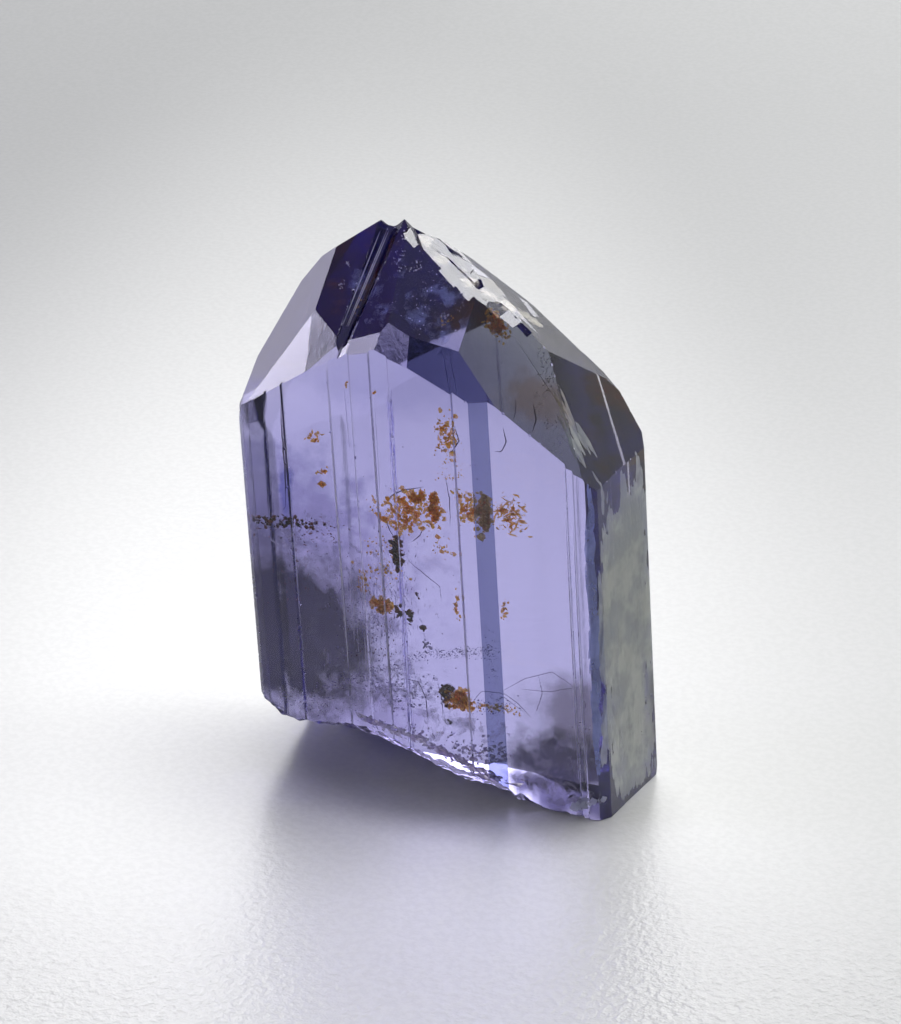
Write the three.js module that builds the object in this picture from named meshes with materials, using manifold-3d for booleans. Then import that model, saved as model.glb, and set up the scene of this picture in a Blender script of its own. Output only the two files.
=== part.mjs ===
// A rough, terminated crystal of tanzanite, standing on the break that once joined it to the rock.
// Millimetres, +Z up, the broad lilac face looking to -Y.
//
// The crystal is made upright, in its own axes, and leaned over at the end:
//   x runs along the broad face, from 0 at its right-hand edge to -WIDTH at its left-hand edge,
//   y runs from 0 at the broad face to DEPTH at the back,
//   z runs up the prism.

import * as THREE from "three";
import { ConvexGeometry } from "three/addons/geometries/ConvexGeometry.js";
import { mergeVertices } from "three/addons/utils/BufferGeometryUtils.js";
import Module from "manifold-3d";

const wasm = await Module();
wasm.setup();

// ---- driving sizes ---------------------------------------------------------------------------

const WIDTH = 15.56; // broad face, edge to edge
const DEPTH = 5.3; // broad face to back
const SUMMIT = 23.7; // top of the ridge, above the lowest front corner
const RIDGE_DEPTH = 3.1; // how far behind the broad face the ridge runs
const LEAN_BACK = 2.0; // degrees the prism leans away from the front
const LEAN_LEFT = 4.4; // degrees it leans to its left
const LOWEST = -2; // the blank starts below the base and ends above the summit
const HIGHEST = SUMMIT + 2;
const FLOOR = -0.27; // height of the flat rest under the leaned prism
const FAR = 40; // reach of a cutter, well past the crystal

// ---- solids from three.js geometry -------------------------------------------------------------

// A closed three.js geometry as a solid for joining and cutting.
function solid(geometry) {
  const bare = geometry.clone();
  bare.deleteAttribute("normal");
  bare.deleteAttribute("uv");
  const merged = mergeVertices(bare, 1e-4);
  const mesh = new wasm.Mesh({
    numProp: 3,
    vertProperties: new Float32Array(merged.attributes.position.array),
    triVerts: new Uint32Array(merged.index.array),
  });
  return new wasm.Manifold(mesh);
}

// The solid back as a geometry with flat shading.
function geometryOf(body) {
  const mesh = body.getMesh();
  const geometry = new THREE.BufferGeometry();
  geometry.setAttribute("position", new THREE.BufferAttribute(mesh.vertProperties, 3));
  geometry.setIndex(new THREE.BufferAttribute(mesh.triVerts, 1));
  const flat = geometry.toNonIndexed();
  flat.computeVertexNormals();
  return flat;
}

// The same body after a turn and a shift.
function placed(body, matrix) {
  const geometry = geometryOf(body);
  geometry.applyMatrix4(matrix);
  return solid(geometry);
}

// The direction a face looks to: its slope from level, and the bearing it falls towards, where
// 0 degrees is +X and 90 degrees is +Y.
function outward(bearing, slope) {
  const b = THREE.MathUtils.degToRad(bearing);
  const s = THREE.MathUtils.degToRad(slope);
  return new THREE.Vector3(Math.cos(b) * Math.sin(s), Math.sin(b) * Math.sin(s), Math.cos(s));
}

// A block that lies outside the plane through a point. Cutting it away leaves a flat face.
// A whole crystal face has length and width at FAR. They bound a chip, whose length runs along
// the edge it is broken from.
function beyond({ bearing, slope, through, along = [1, 0, 0], length = FAR, width = FAR }) {
  const block = new THREE.BoxGeometry(length, width, FAR);
  block.translate(0, 0, FAR / 2);
  const zAxis = outward(bearing, slope);
  const yAxis = new THREE.Vector3().crossVectors(zAxis, new THREE.Vector3(...along)).normalize();
  const xAxis = new THREE.Vector3().crossVectors(yAxis, zAxis);
  block.applyMatrix4(new THREE.Matrix4().makeBasis(xAxis, yAxis, zAxis));
  block.translate(...through);
  return solid(block);
}

// ---- the prism -----------------------------------------------------------------------------------

// The cross-section: long narrow faces, steps and striations that run the whole height.
const STEP_IN = 0.24; // how far the broad face is set back to the right of its slanting step

// [x, y] along the front from left to right.
const FRONT_OUTLINE = [
  [-WIDTH, 0.3],
  [-WIDTH + 0.24, 0.08],
  [-WIDTH + 0.6, 0],
  [-13.46, 0],
  [-13.4, 0.06],
  [-13.32, 0],
  [-11.35, 0],
  [-11.28, 0.045],
  [-10.4, 0.045],
  [-10.32, 0],
  [-9.5, 0],
  [-9.44, 0.05],
  [-8.7, 0.03],
  [-8.64, 0],
  [-6.02, 0],
  [-5.96, 0.05],
  [-5.3, 0.03],
  [-4.56, STEP_IN],
  [-1.42, STEP_IN],
  [-1.34, STEP_IN - 0.07],
  [-1.12, STEP_IN - 0.02],
  [-1.04, STEP_IN - 0.07],
  [-0.62, STEP_IN],
];

// Down the right-hand side to the back.
const RIGHT_OUTLINE = [
  [-0.3, 0.72],
  [-0.19, 1.9],
  [-0.2, 1.96],
  [-0.04, 3.4],
  [0.12, DEPTH - 0.35],
  [-0.1, DEPTH + 0.04],
];

// Along the back from right to left, and up the left-hand side to the front.
const BACK_OUTLINE = [
  [-2.4, DEPTH],
  [-2.46, DEPTH - 0.06],
  [-6.3, DEPTH - 0.06],
  [-6.36, DEPTH - 0.02],
  [-9.9, DEPTH],
  [-10.02, DEPTH + 0.12],
  [-12.1, DEPTH + 0.12],
  [-12.24, DEPTH],
  [-14.2, DEPTH - 0.02],
  [-15.3, DEPTH - 0.04],
  [-WIDTH, DEPTH - 0.3],
  [-WIDTH - 0.04, 2.1],
];

function prism() {
  const rows = [...FRONT_OUTLINE, ...RIGHT_OUTLINE, ...BACK_OUTLINE];
  const outline = new THREE.Shape(rows.map(([x, y]) => new THREE.Vector2(x, y)));
  const column = new THREE.ExtrudeGeometry(outline, { depth: HIGHEST - LOWEST, bevelEnabled: false });
  column.translate(0, 0, LOWEST);
  return solid(column);
}

// ---- the termination -------------------------------------------------------------------------------

// Each crystal face by its bearing, its slope and a corner it passes through.
// Front of the roof: the main slope, the steep row of small faces above the broad face, the three
// slopes to the right of them and the long sliver at the left-hand edge.
const MAIN_SLOPE = { bearing: -98.9, slope: 53.7, through: [-8.76, 0.6, 20.18] };
const FRONT_FACES = [
  MAIN_SLOPE,
  { bearing: -107.3, slope: 62.1, through: [-15.04, 0, 16.52] },
  { bearing: -105.3, slope: 61.8, through: [-12.22, 0, 18.1] },
  { bearing: -101, slope: 65.6, through: [-12.18, 0, 18.12] },
  { bearing: -95.6, slope: 61.5, through: [-9.2, 0, 19.1] },
  { bearing: -79.5, slope: 64.9, through: [-9.09, 0, 19.05] },
  { bearing: -75.6, slope: 65.1, through: [-7.79, 0, 18.54] },
  { bearing: -71.7, slope: 54.8, through: [-7.83, 0.53, 19.67] },
  { bearing: -61.8, slope: 57.9, through: [-5.91, 0.76, 19.13] },
  { bearing: -124.5, slope: 55.4, through: [-15.04, 0, 16.52] },
];

// The domes to the right and the left are rounded by narrow faces, steeper lower down.
const RIGHT_FACES = [
  { bearing: -8.2, slope: 62.6, through: [-0.31, 0.72, 13.85] },
  { bearing: 7.9, slope: 37.8, through: [-8.89, 3.2, 23.65] },
  { bearing: 15.6, slope: 40.5, through: [-5.56, 2.49, 21.3] },
  { bearing: 15.4, slope: 43.2, through: [-2.73, 2.3, 18.9] },
  { bearing: 20, slope: 51, through: [-1.85, 5.32, 17.4] },
  { bearing: 24, slope: 61, through: [-0.78, 5.3, 16.26] },
  { bearing: 32, slope: 75, through: [-0.24, 5.3, 15.55] },
];

const LEFT_FACES = [
  { bearing: 178, slope: 78, through: [-15.42, 0, 16.4] },
  { bearing: 175, slope: 63.5, through: [-15.09, 1.3, 17.95] },
  { bearing: 172, slope: 51, through: [-13.43, 2.7, 21.0] },
  { bearing: 170, slope: 32.5, through: [-12.47, 3.0, 22.06] },
];

const BACK_FACES = [
  { bearing: 86.2, slope: 52.7, through: [-8.89, 3.2, 23.65] },
  { bearing: 97, slope: 77, through: [-8, DEPTH, 17.6] },
  { bearing: 114, slope: 70, through: [-13, 5.0, 17.4] },
];

// ---- the groove down the front of the roof ------------------------------------------------------------

// A V-shaped groove, widest at the summit, that ends among the small faces. Each row is a place on
// the main slope, the width of the groove to the left and to the right of its bottom, and its depth.
const GROOVE_TOP = { at: new THREE.Vector3(-9.72, RIDGE_DEPTH, 23.42), left: 0.46, right: 0.7, depth: 0.5 };
const GROOVE_FOOT = { at: new THREE.Vector3(-10.6, 0.36, 19.47), left: 0.38, right: 0.3, depth: 0.15 };
const GROOVE_REACH = [-2, 1.12]; // from above the summit to below the foot, in lengths of the groove
const GROOVE_LIP = 1.5; // how far the cutter stands above the main slope

function groove() {
  const face = outward(MAIN_SLOPE.bearing, MAIN_SLOPE.slope);
  const along = GROOVE_FOOT.at.clone().sub(GROOVE_TOP.at);
  const toLeft = new THREE.Vector3().crossVectors(along, face).normalize();
  const corners = [];
  for (const t of GROOVE_REACH) {
    const middle = GROOVE_TOP.at.clone().addScaledVector(along, t);
    const left = THREE.MathUtils.lerp(GROOVE_TOP.left, GROOVE_FOOT.left, t);
    const right = THREE.MathUtils.lerp(GROOVE_TOP.right, GROOVE_FOOT.right, t);
    const depth = THREE.MathUtils.lerp(GROOVE_TOP.depth, GROOVE_FOOT.depth, t);
    corners.push(middle.clone().addScaledVector(face, -depth));
    for (const aside of [left, -right]) {
      for (const height of [0, GROOVE_LIP]) {
        corners.push(middle.clone().addScaledVector(toLeft, aside).addScaledVector(face, height));
      }
    }
  }
  return solid(new ConvexGeometry(corners));
}

// A splinter is missing below the groove, between two of the small faces.
const SPLINTER = {
  bearing: -113.7,
  slope: 58.2,
  through: [-10.56, 0.2, 19.1],
  along: [0.25, 0.42, 0.87],
  length: 1.25,
  width: 0.34,
};

// ---- chips along the crest -----------------------------------------------------------------------------

// The crest falls from the summit to the right-hand shoulder. Its edge is knocked off in a row of
// bright flat chips, which run into each other.
const CREST = [
  new THREE.Vector3(-8.76, 3.11, 23.6),
  new THREE.Vector3(-5.56, 2.49, 21.3),
  new THREE.Vector3(-2.73, 2.3, 18.9),
];

// at: 0 to 1 along the upper stretch of the crest and 1 to 2 along the lower one.
const CHIPS = [
  { at: 0.02, bearing: -52, slope: 44, inward: 0.1, length: 0.6 },
  { at: 0.14, bearing: -39, slope: 41, inward: 0.3, length: 0.8 },
  { at: 0.33, bearing: -47, slope: 43, inward: 0.08, length: 0.95 },
  { at: 0.52, bearing: -41, slope: 37, inward: 0.2, length: 0.75 },
  { at: 0.7, bearing: -37, slope: 41, inward: 0.34, length: 0.95 },
  { at: 0.9, bearing: -41, slope: 43, inward: 0.3, length: 1.0 },
  { at: 1.1, bearing: -36, slope: 40, inward: 0.2, length: 0.85 },
  { at: 1.28, bearing: -29, slope: 45, inward: 0.2, length: 0.75 },
  { at: 1.46, bearing: -35, slope: 42, inward: 0.14, length: 0.8 },
  { at: 1.64, bearing: -27, slope: 45, inward: 0.08, length: 0.75 },
];

const CHIP_WIDTH = 6; // reach of a chip across the crest, out to both sides of the stone

function chip({ at, bearing, slope, inward, length }) {
  const stretch = Math.min(Math.floor(at), CREST.length - 2);
  const from = CREST[stretch];
  const to = CREST[stretch + 1];
  const centre = from.clone().lerp(to, at - stretch).addScaledVector(outward(bearing, slope), -inward);
  const along = to.clone().sub(from).toArray();
  return beyond({ bearing, slope, through: centre, along, length, width: CHIP_WIDTH });
}

// ---- the break at the base --------------------------------------------------------------------------------

// Height of the break above the flat rest, along the foot of the broad face. Each row is [x, height].
const BREAK_EDGE = [
  [-16.5, 3.1],
  [-15.7, 2.75],
  [-15.0, 2.15],
  [-14.2, 1.85],
  [-12.9, 1.9],
  [-12.2, 2.05],
  [-10.4, 1.72],
  [-8.4, 1.12],
  [-6.7, 0.62],
  [-4.8, 0.5],
  [-4.3, 0.2],
  [-3.4, -0.02],
  [-2.2, -0.12],
  [-0.8, -0.1],
  [-0.3, 0.05],
  [1.5, 0.6],
];
const BREAK_FALL = 0.515; // how much lower the break lies for each millimetre further back
const LIP_DEPTH = 0.42; // the splintered lip between the broad face and the break
const LIP_RISE = [0.5, 1.5]; // its rise for each millimetre, at the corners and in the middle
const LIP_MIDDLE = [-12.4, -10.6, -3.6, -1.6]; // where along the face the steeper rise starts and ends
const BREAK_GRID = 0.3; // spacing of the break's facets
const BREAK_SIZE = [18, 7, 4]; // block that is cut away under the break
const BREAK_MIDDLE = [-8.2, 2.9, 0];
const BREAK_ROUGH = 0.1;
const SHELLS_FROM = [-11.5, 6.5]; // where the stone started to part, which the ripples run around
const SHELL_PITCH = 4.1; // radians of ripple for each millimetre

// The foot of the back is knocked off, and the lowest part of the break is a flat spot to stand on.
const REAR_FOOT = { bearing: 85, slope: 108, through: [0, 4.95, FLOOR + 0.3] };
const REST = { bearing: 0, slope: 180, through: [-8, 3, FLOOR] };

// Height along the foot of the broad face, straight between the rows above.
function edgeHeight(x) {
  const next = Math.max(1, BREAK_EDGE.findIndex(([limit]) => x <= limit));
  const [x0, h0] = BREAK_EDGE[next - 1];
  const [x1, h1] = BREAK_EDGE[next];
  return h0 + ((h1 - h0) * (x - x0)) / (x1 - x0);
}

// Shell-shaped ripples around the point the break started from, and an uneven grain on top of them.
function ripple(x, y) {
  const reach = Math.hypot(x - SHELLS_FROM[0], (y - SHELLS_FROM[1]) * 1.3);
  const shells = Math.sin(reach * SHELL_PITCH + 0.6 * Math.sin(x * 1.7));
  const grain = Math.sin(x * 7.3 + 2.1 * Math.sin(y * 5.1)) * Math.cos(y * 6.7 + 1.3 * Math.sin(x * 4.4));
  return BREAK_ROUGH * (0.5 * shells + 0.7 * grain);
}

function breakHeight(x, y) {
  const [fromLeft, toLeft, fromRight, toRight] = LIP_MIDDLE;
  const middle = THREE.MathUtils.smoothstep(x, fromLeft, toLeft)
    * (1 - THREE.MathUtils.smoothstep(x, fromRight, toRight));
  const lip = Math.max(0, LIP_DEPTH - y) * THREE.MathUtils.lerp(...LIP_RISE, middle);
  return edgeHeight(x) - BREAK_FALL * Math.max(0, y - LIP_DEPTH) + lip + ripple(x, y);
}

function underside() {
  const [length, width, height] = BREAK_SIZE;
  const columns = Math.round(length / BREAK_GRID);
  const rows = Math.round(width / BREAK_GRID);
  const block = new THREE.BoxGeometry(length, width, height, columns, rows, 1);
  block.translate(...BREAK_MIDDLE);
  const position = block.attributes.position;
  for (let i = 0; i < position.count; i += 1) {
    const [x, y, z] = [position.getX(i), position.getY(i), position.getZ(i)];
    if (z > 0) position.setZ(i, FLOOR + breakHeight(x, y));
    else position.setZ(i, FLOOR - height);
  }
  return solid(block);
}

// ---- the build ----------------------------------------------------------------------------------------

function terminated(body) {
  let cut = body;
  for (const face of [...FRONT_FACES, ...RIGHT_FACES, ...LEFT_FACES, ...BACK_FACES]) {
    cut = cut.subtract(beyond(face));
  }
  return cut;
}

const lean = new THREE.Matrix4()
  .makeRotationY(THREE.MathUtils.degToRad(-LEAN_LEFT))
  .multiply(new THREE.Matrix4().makeRotationX(THREE.MathUtils.degToRad(-LEAN_BACK)));

let crystal = terminated(prism()).subtract(groove()).subtract(beyond(SPLINTER));
for (const one of CHIPS) {
  crystal = crystal.subtract(chip(one));
}
crystal = placed(crystal, lean);
crystal = crystal.subtract(underside()).subtract(beyond(REAR_FOOT)).subtract(beyond(REST));

const box = crystal.boundingBox();
const toOrigin = new THREE.Matrix4().makeTranslation(
  -(box.min[0] + box.max[0]) / 2,
  -(box.min[1] + box.max[1]) / 2,
  -box.min[2],
);
crystal = placed(crystal, toOrigin);

const tanzanite = new THREE.MeshStandardMaterial({ color: 0x8a86cc, roughness: 0.12, metalness: 0 });
const stone = new THREE.Mesh(geometryOf(crystal), tanzanite);
stone.name = "tanzanite_crystal";

const part = new THREE.Group();
part.add(stone);

export default part;
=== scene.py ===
"""Looks of a rough tanzanite crystal: clear violet-blue stone with rust, graphite and veils inside it.

Places are in millimetres along the crystal's own axes: across from 0 at the broad face's right-hand
edge to negative values at its left, deep from 0 at the broad face to the back, and up the prism.
CrystalAxes turns them into the frame, which is in metres. What lies inside the stone is given by where
it shows, as across and up on the broad face's plane, and by how far behind the surface it lies along
the bent line of sight.
"""

from __future__ import annotations

import logging
import math
import random
from dataclasses import dataclass, field
from enum import Enum
from functools import partial

import bmesh
import bpy
from bmesh.types import BMesh
from bpy.types import Material, Mesh, Node, NodeSocket, NodeTree, Object
from mathutils import Matrix, Vector, noise
from mathutils.bvhtree import BVHTree


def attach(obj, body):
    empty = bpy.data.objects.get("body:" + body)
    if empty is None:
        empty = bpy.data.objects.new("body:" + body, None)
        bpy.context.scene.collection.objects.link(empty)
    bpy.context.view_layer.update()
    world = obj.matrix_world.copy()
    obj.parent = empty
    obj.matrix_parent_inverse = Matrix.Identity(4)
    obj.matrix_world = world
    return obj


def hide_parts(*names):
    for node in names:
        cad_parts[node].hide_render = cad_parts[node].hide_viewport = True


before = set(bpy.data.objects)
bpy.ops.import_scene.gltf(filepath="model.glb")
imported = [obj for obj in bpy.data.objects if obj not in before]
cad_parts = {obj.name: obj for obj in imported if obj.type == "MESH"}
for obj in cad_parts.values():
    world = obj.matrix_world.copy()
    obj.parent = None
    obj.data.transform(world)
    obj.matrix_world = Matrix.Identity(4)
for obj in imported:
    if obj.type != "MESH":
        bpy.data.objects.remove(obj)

log = logging.getLogger("tanzanite")

MM = 0.001
NODE = "tanzanite_crystal"
BODY = "root"
REFRACTION = 1.69
Colour = tuple[float, float, float]
Place = tuple[float, float, float]
Spot = tuple[float, float]
WHITE: Colour = (1.0, 1.0, 1.0)
EVEN: Place = (1.0, 1.0, 1.0)


# ---- places ----------------------------------------------------------------------------------------


@dataclass(frozen=True)
class CrystalAxes:
    """The crystal's own upright axes, and how they stand in the frame."""

    lean_back: float = 2.0
    lean_left: float = 4.4
    corner: Place = (8.293, -3.0107, 0.27)

    def turn(self) -> Matrix:
        """The lean of the prism as a 3 by 3 matrix."""
        left = Matrix.Rotation(math.radians(-self.lean_left), 3, "Y")
        return left @ Matrix.Rotation(math.radians(-self.lean_back), 3, "X")

    def to_frame(self, across: float, deep: float, up: float) -> Vector:
        """A place on the crystal, in metres in the frame."""
        return (self.turn() @ Vector((across, deep, up)) + Vector(self.corner)) * MM

    def outward(self, bearing: float, slope: float) -> Vector:
        """The direction a crystal face looks to.

        Args:
            bearing: degrees around the prism, 0 along the broad face and 90 to the back.
            slope: degrees the face slopes from level.

        Returns:
            The unit normal in the frame.
        """
        around, down = math.radians(bearing), math.radians(slope)
        level = math.sin(down)
        return self.turn() @ Vector((math.cos(around) * level, math.sin(around) * level, math.cos(down)))


AXES = CrystalAxes()


# ---- meshes ----------------------------------------------------------------------------------------


def placed(name: str, data: bpy.types.ID) -> Object:
    """Puts something made into the scene.

    Args:
        name: the new object's name.
        data: its mesh, lamp or camera.

    Returns:
        The object.
    """
    made = bpy.data.objects.new(name, data)
    bpy.context.scene.collection.objects.link(made)
    return made


def settled(work: BMesh, name: str) -> Mesh:
    """Turns a work mesh into a plain one and lets the work mesh go.

    Args:
        work: the work mesh.
        name: the plain mesh's name.

    Returns:
        The plain mesh.
    """
    made = bpy.data.meshes.new(name)
    work.to_mesh(made)
    work.free()
    return made


def evaluated(thing: Object) -> Mesh:
    """Makes a plain mesh of an object with its modifier, and takes the modifier off.

    Args:
        thing: the object.

    Returns:
        The plain mesh.
    """
    view = bpy.context.evaluated_depsgraph_get()
    made = bpy.data.meshes.new_from_object(thing.evaluated_get(view), depsgraph=view)
    thing.modifiers.clear()
    return made


def facing(level: Vector, away: Vector) -> Matrix:
    """The turn of a camera or a lamp with its right-hand side level and its back to away."""
    return Matrix((level, away.cross(level), away)).transposed().to_4x4()


# ---- nodes -----------------------------------------------------------------------------------------


def fill(tree: NodeTree, inlet: NodeSocket, value) -> None:
    """Links a socket to an input, or gives the input a plain value.

    Args:
        tree: the node tree.
        inlet: the input.
        value: the socket or plain value.
    """
    if isinstance(value, NodeSocket):
        tree.links.new(value, inlet)
    else:
        inlet.default_value = value


def feed(tree: NodeTree, made: Node, **values) -> Node:
    """Sets a node's plain properties and fills its inputs.

    Args:
        tree: the node tree.
        made: the node.
        **values: values of properties, and sockets or values for inputs, with the spaces in an
            input's name as underscores.

    Returns:
        The node.
    """
    for key, value in values.items():
        if hasattr(made, key):
            setattr(made, key, value)
        else:
            fill(tree, made.inputs[key.replace("_", " ")], value)
    return made


def node(tree: NodeTree, kind: str, **values) -> Node:
    """Adds a node of a kind and feeds it."""
    return feed(tree, tree.nodes.new(kind), **values)


def reckon(tree: NodeTree, operation: str, *terms) -> NodeSocket:
    """Adds a Math or Vector Math node.

    Args:
        tree: the node tree.
        operation: the operation's name, with VECTOR_ before one on vectors.
        *terms: sockets or plain values, in order.

    Returns:
        The node's result.
    """
    plain = operation.removeprefix("VECTOR_")
    made = node(tree, "ShaderNodeMath" if plain == operation else "ShaderNodeVectorMath", operation=plain)
    for i, term in enumerate(terms):
        fill(tree, made.inputs["Scale" if plain == "SCALE" and i else i], term)
    return made.outputs["Value" if plain in ("LENGTH", "DOT_PRODUCT") else 0]


def spread_of(tree: NodeTree, value: NodeSocket, low: float, high: float,
              to_low: float = 0.0, to_high: float = 1.0) -> NodeSocket:
    """Stretches a value smoothly, so that low becomes to_low and high becomes to_high."""
    return node(tree, "ShaderNodeMapRange", interpolation_type="SMOOTHSTEP", Value=value,
                From_Min=low, From_Max=high, To_Min=to_low, To_Max=to_high).outputs[0]


def blend_of(tree: NodeTree, amount, first, second, how: str = "MIX") -> NodeSocket:
    """Mixes two colours, each a socket or a plain colour.

    Args:
        tree: the node tree.
        amount: how much of the second, as a socket or a number.
        first: the colour at 0.
        second: the colour at 1.
        how: the blend type.

    Returns:
        The mixed colour.
    """
    made = node(tree, "ShaderNodeMix", data_type="RGBA", blend_type=how)
    for place, value in ((0, amount), (6, first), (7, second)):
        fill(tree, made.inputs[place], (*value, 1.0) if isinstance(value, tuple) else value)
    return made.outputs[2]


def reach_of(tree: NodeTree, place: NodeSocket, middle: Place, half: Place) -> NodeSocket:
    """How far out of an ellipsoid in millimetres a place lies, from 0 in its middle to 1 on its skin."""
    off = reckon(tree, "VECTOR_SUBTRACT", place, Vector(middle) * MM)
    return reckon(tree, "VECTOR_LENGTH", reckon(tree, "VECTOR_DIVIDE", off, Vector(half) * MM))


def noise_of(tree: NodeTree, place: NodeSocket, scale: float, detail: float,
             roughness: float = 0.6) -> NodeSocket:
    """An uneven value from 0 to 1."""
    return node(tree, "ShaderNodeTexNoise", Vector=place, Scale=scale, Detail=detail,
                Roughness=roughness).outputs[0]


def wander_of(tree: NodeTree, place: NodeSocket, scale, detail: float, strength: NodeSocket) -> NodeSocket:
    """An uneven shift, up to half its strength each way."""
    uneven = node(tree, "ShaderNodeTexNoise", Vector=place, Scale=scale, Detail=detail).outputs["Color"]
    return reckon(tree, "VECTOR_SCALE", reckon(tree, "VECTOR_SUBTRACT", uneven, (0.5, 0.5, 0.5)), strength)


def new_material(name: str) -> tuple[Material, NodeTree, Node, NodeSocket]:
    """Makes an empty procedural material.

    Args:
        name: its name.

    Returns:
        The material, its tree, its shader and its Object coordinates.
    """
    material = bpy.data.materials.new(name)
    material.use_nodes = True
    tree = material.node_tree
    return material, tree, tree.nodes["Principled BSDF"], node(tree, "ShaderNodeTexCoord").outputs["Object"]


# ---- the studio ------------------------------------------------------------------------------------


@dataclass(frozen=True)
class StudioCamera:
    """A long lens that looks down on the stone from its right."""

    target: Place = (1.2219, -3.0107, 12.605)
    azimuth: float = 22.9076
    elevation: float = 23.8734
    distance: float = 142.395
    lens: float = 126.56
    film_width: float = 36.0
    nearest: float = 5.0
    furthest: float = 10000.0

    def level_ways(self) -> tuple[Vector, Vector]:
        """The level directions to the camera's right and away from it."""
        right = Vector((math.cos(math.radians(self.azimuth)), math.sin(math.radians(self.azimuth)), 0.0))
        return right, Vector((-right.y, right.x, 0.0))

    def backwards(self) -> Vector:
        """The direction from the target to the camera."""
        around, above = math.radians(self.azimuth), math.radians(self.elevation)
        level = math.cos(above)
        return Vector((math.sin(around) * level, -math.cos(around) * level, math.sin(above)))

    def eye(self) -> Vector:
        """Where the camera stands, in metres."""
        return (Vector(self.target) + self.backwards() * self.distance) * MM

    def place(self) -> Object:
        """Makes the camera and gives it to the scene."""
        data = bpy.data.cameras.new("studio_camera")
        data.lens = self.lens
        data.sensor_width = self.film_width
        data.clip_start = self.nearest * MM
        data.clip_end = self.furthest * MM
        camera = placed("studio_camera", data)
        camera.matrix_world = Matrix.Translation(self.eye()) @ facing(self.level_ways()[0], self.backwards())
        bpy.context.scene.camera = camera
        return camera


@dataclass(frozen=True)
class Softbox:
    """One soft lamp, given by where it hangs around the stone and how bright its face is."""

    name: str
    bearing: float
    height: float
    distance: float
    size: Spot
    brightness: float
    colour: Colour = WHITE

    def place(self, target: Vector) -> Object:
        """Hangs the lamp and turns it to the target.

        Args:
            target: a place in metres.

        Returns:
            The lamp.
        """
        data = bpy.data.lights.new(self.name, "AREA")
        data.shape = "RECTANGLE"
        data.size, data.size_y = (side * MM for side in self.size)
        data.energy = self.brightness * math.pi * data.size * data.size_y
        data.color = self.colour
        around, above = math.radians(self.bearing), math.radians(self.height)
        level = math.cos(above)
        away = Vector((math.cos(around) * level, math.sin(around) * level, math.sin(above)))
        turn = facing(Vector((-math.sin(around), math.cos(around), 0.0)), away)
        lamp = placed(self.name, data)
        lamp.matrix_world = Matrix.Translation(target + away * self.distance * MM) @ turn
        return lamp


@dataclass(frozen=True)
class PearlyFloor:
    """The fine sandblasted, faintly glossy surface under the stone.

    Its colour holds painted light and shade: a painted pool of light, pale round the stone and darker far
    off, whose middle and half size are measured sideways and away from the camera, and a painted contact
    shadow round the stone's foot, measured along the frame. The grain is deepest in front of the stone and
    fades out under it.
    """

    # The floor's colour is a painted pool of light: pale round the stone and darker far off.
    painted_pool_colour: Colour = (0.635, 0.64, 0.625)
    far: Colour = (0.36, 0.365, 0.36)
    middle: Place = (-6.0, 4.0, 0.0)
    half: Place = (21.0, 86.0, 1.0)
    fades: Spot = (0.25, 1.35)
    # Painted contact shadow: the floor is darker under and round the stone's foot.
    spot: Place = (1.0, -1.8, 0.0)
    painted_shadow_half: Place = (9.8, 5.3, 1.0)
    painted_shadow_fades: Spot = (0.5, 1.1)
    painted_shadow_level: float = 0.5
    roughness: float = 0.30
    refraction: float = 1.6
    grain: float = 3000.0
    grain_shade: float = 0.94
    grain_deep: float = 0.06
    grain_fades: Spot = (-0.022, 0.0)
    grain_left: float = 0.12

    def build(self) -> Material:
        """Makes the surface's material."""
        material, tree, shader, place = new_material("pearly_floor")
        aside, away = (reckon(tree, "VECTOR_DOT_PRODUCT", place, way) for way in StudioCamera().level_ways())
        ground = node(tree, "ShaderNodeCombineXYZ", X=aside, Y=away).outputs[0]
        # Painted pool of light: paler round the stone, darker far behind it.
        painted_light_falloff = spread_of(tree, reach_of(tree, ground, self.middle, self.half), *self.fades)
        grain = noise_of(tree, place, self.grain, 2.0)
        # Painted contact shadow round the stone's foot, multiplied into the grain's tone.
        spot = reach_of(tree, place, self.spot, self.painted_shadow_half)
        spot = spread_of(tree, spot, *self.painted_shadow_fades, self.painted_shadow_level)
        shade = reckon(tree, "MULTIPLY", spread_of(tree, grain, 0.35, 0.65, self.grain_shade), spot)
        colour = blend_of(tree, 1.0, blend_of(tree, painted_light_falloff, self.painted_pool_colour, self.far), shade, "MULTIPLY")
        deep = spread_of(tree, away, *self.grain_fades, 1.0, self.grain_left)
        bump = node(tree, "ShaderNodeBump", Strength=deep, Distance=self.grain_deep * MM, Height=grain)
        feed(tree, shader, Base_Color=colour, Normal=bump.outputs[0], Roughness=self.roughness,
             IOR=self.refraction)
        return material


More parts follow.
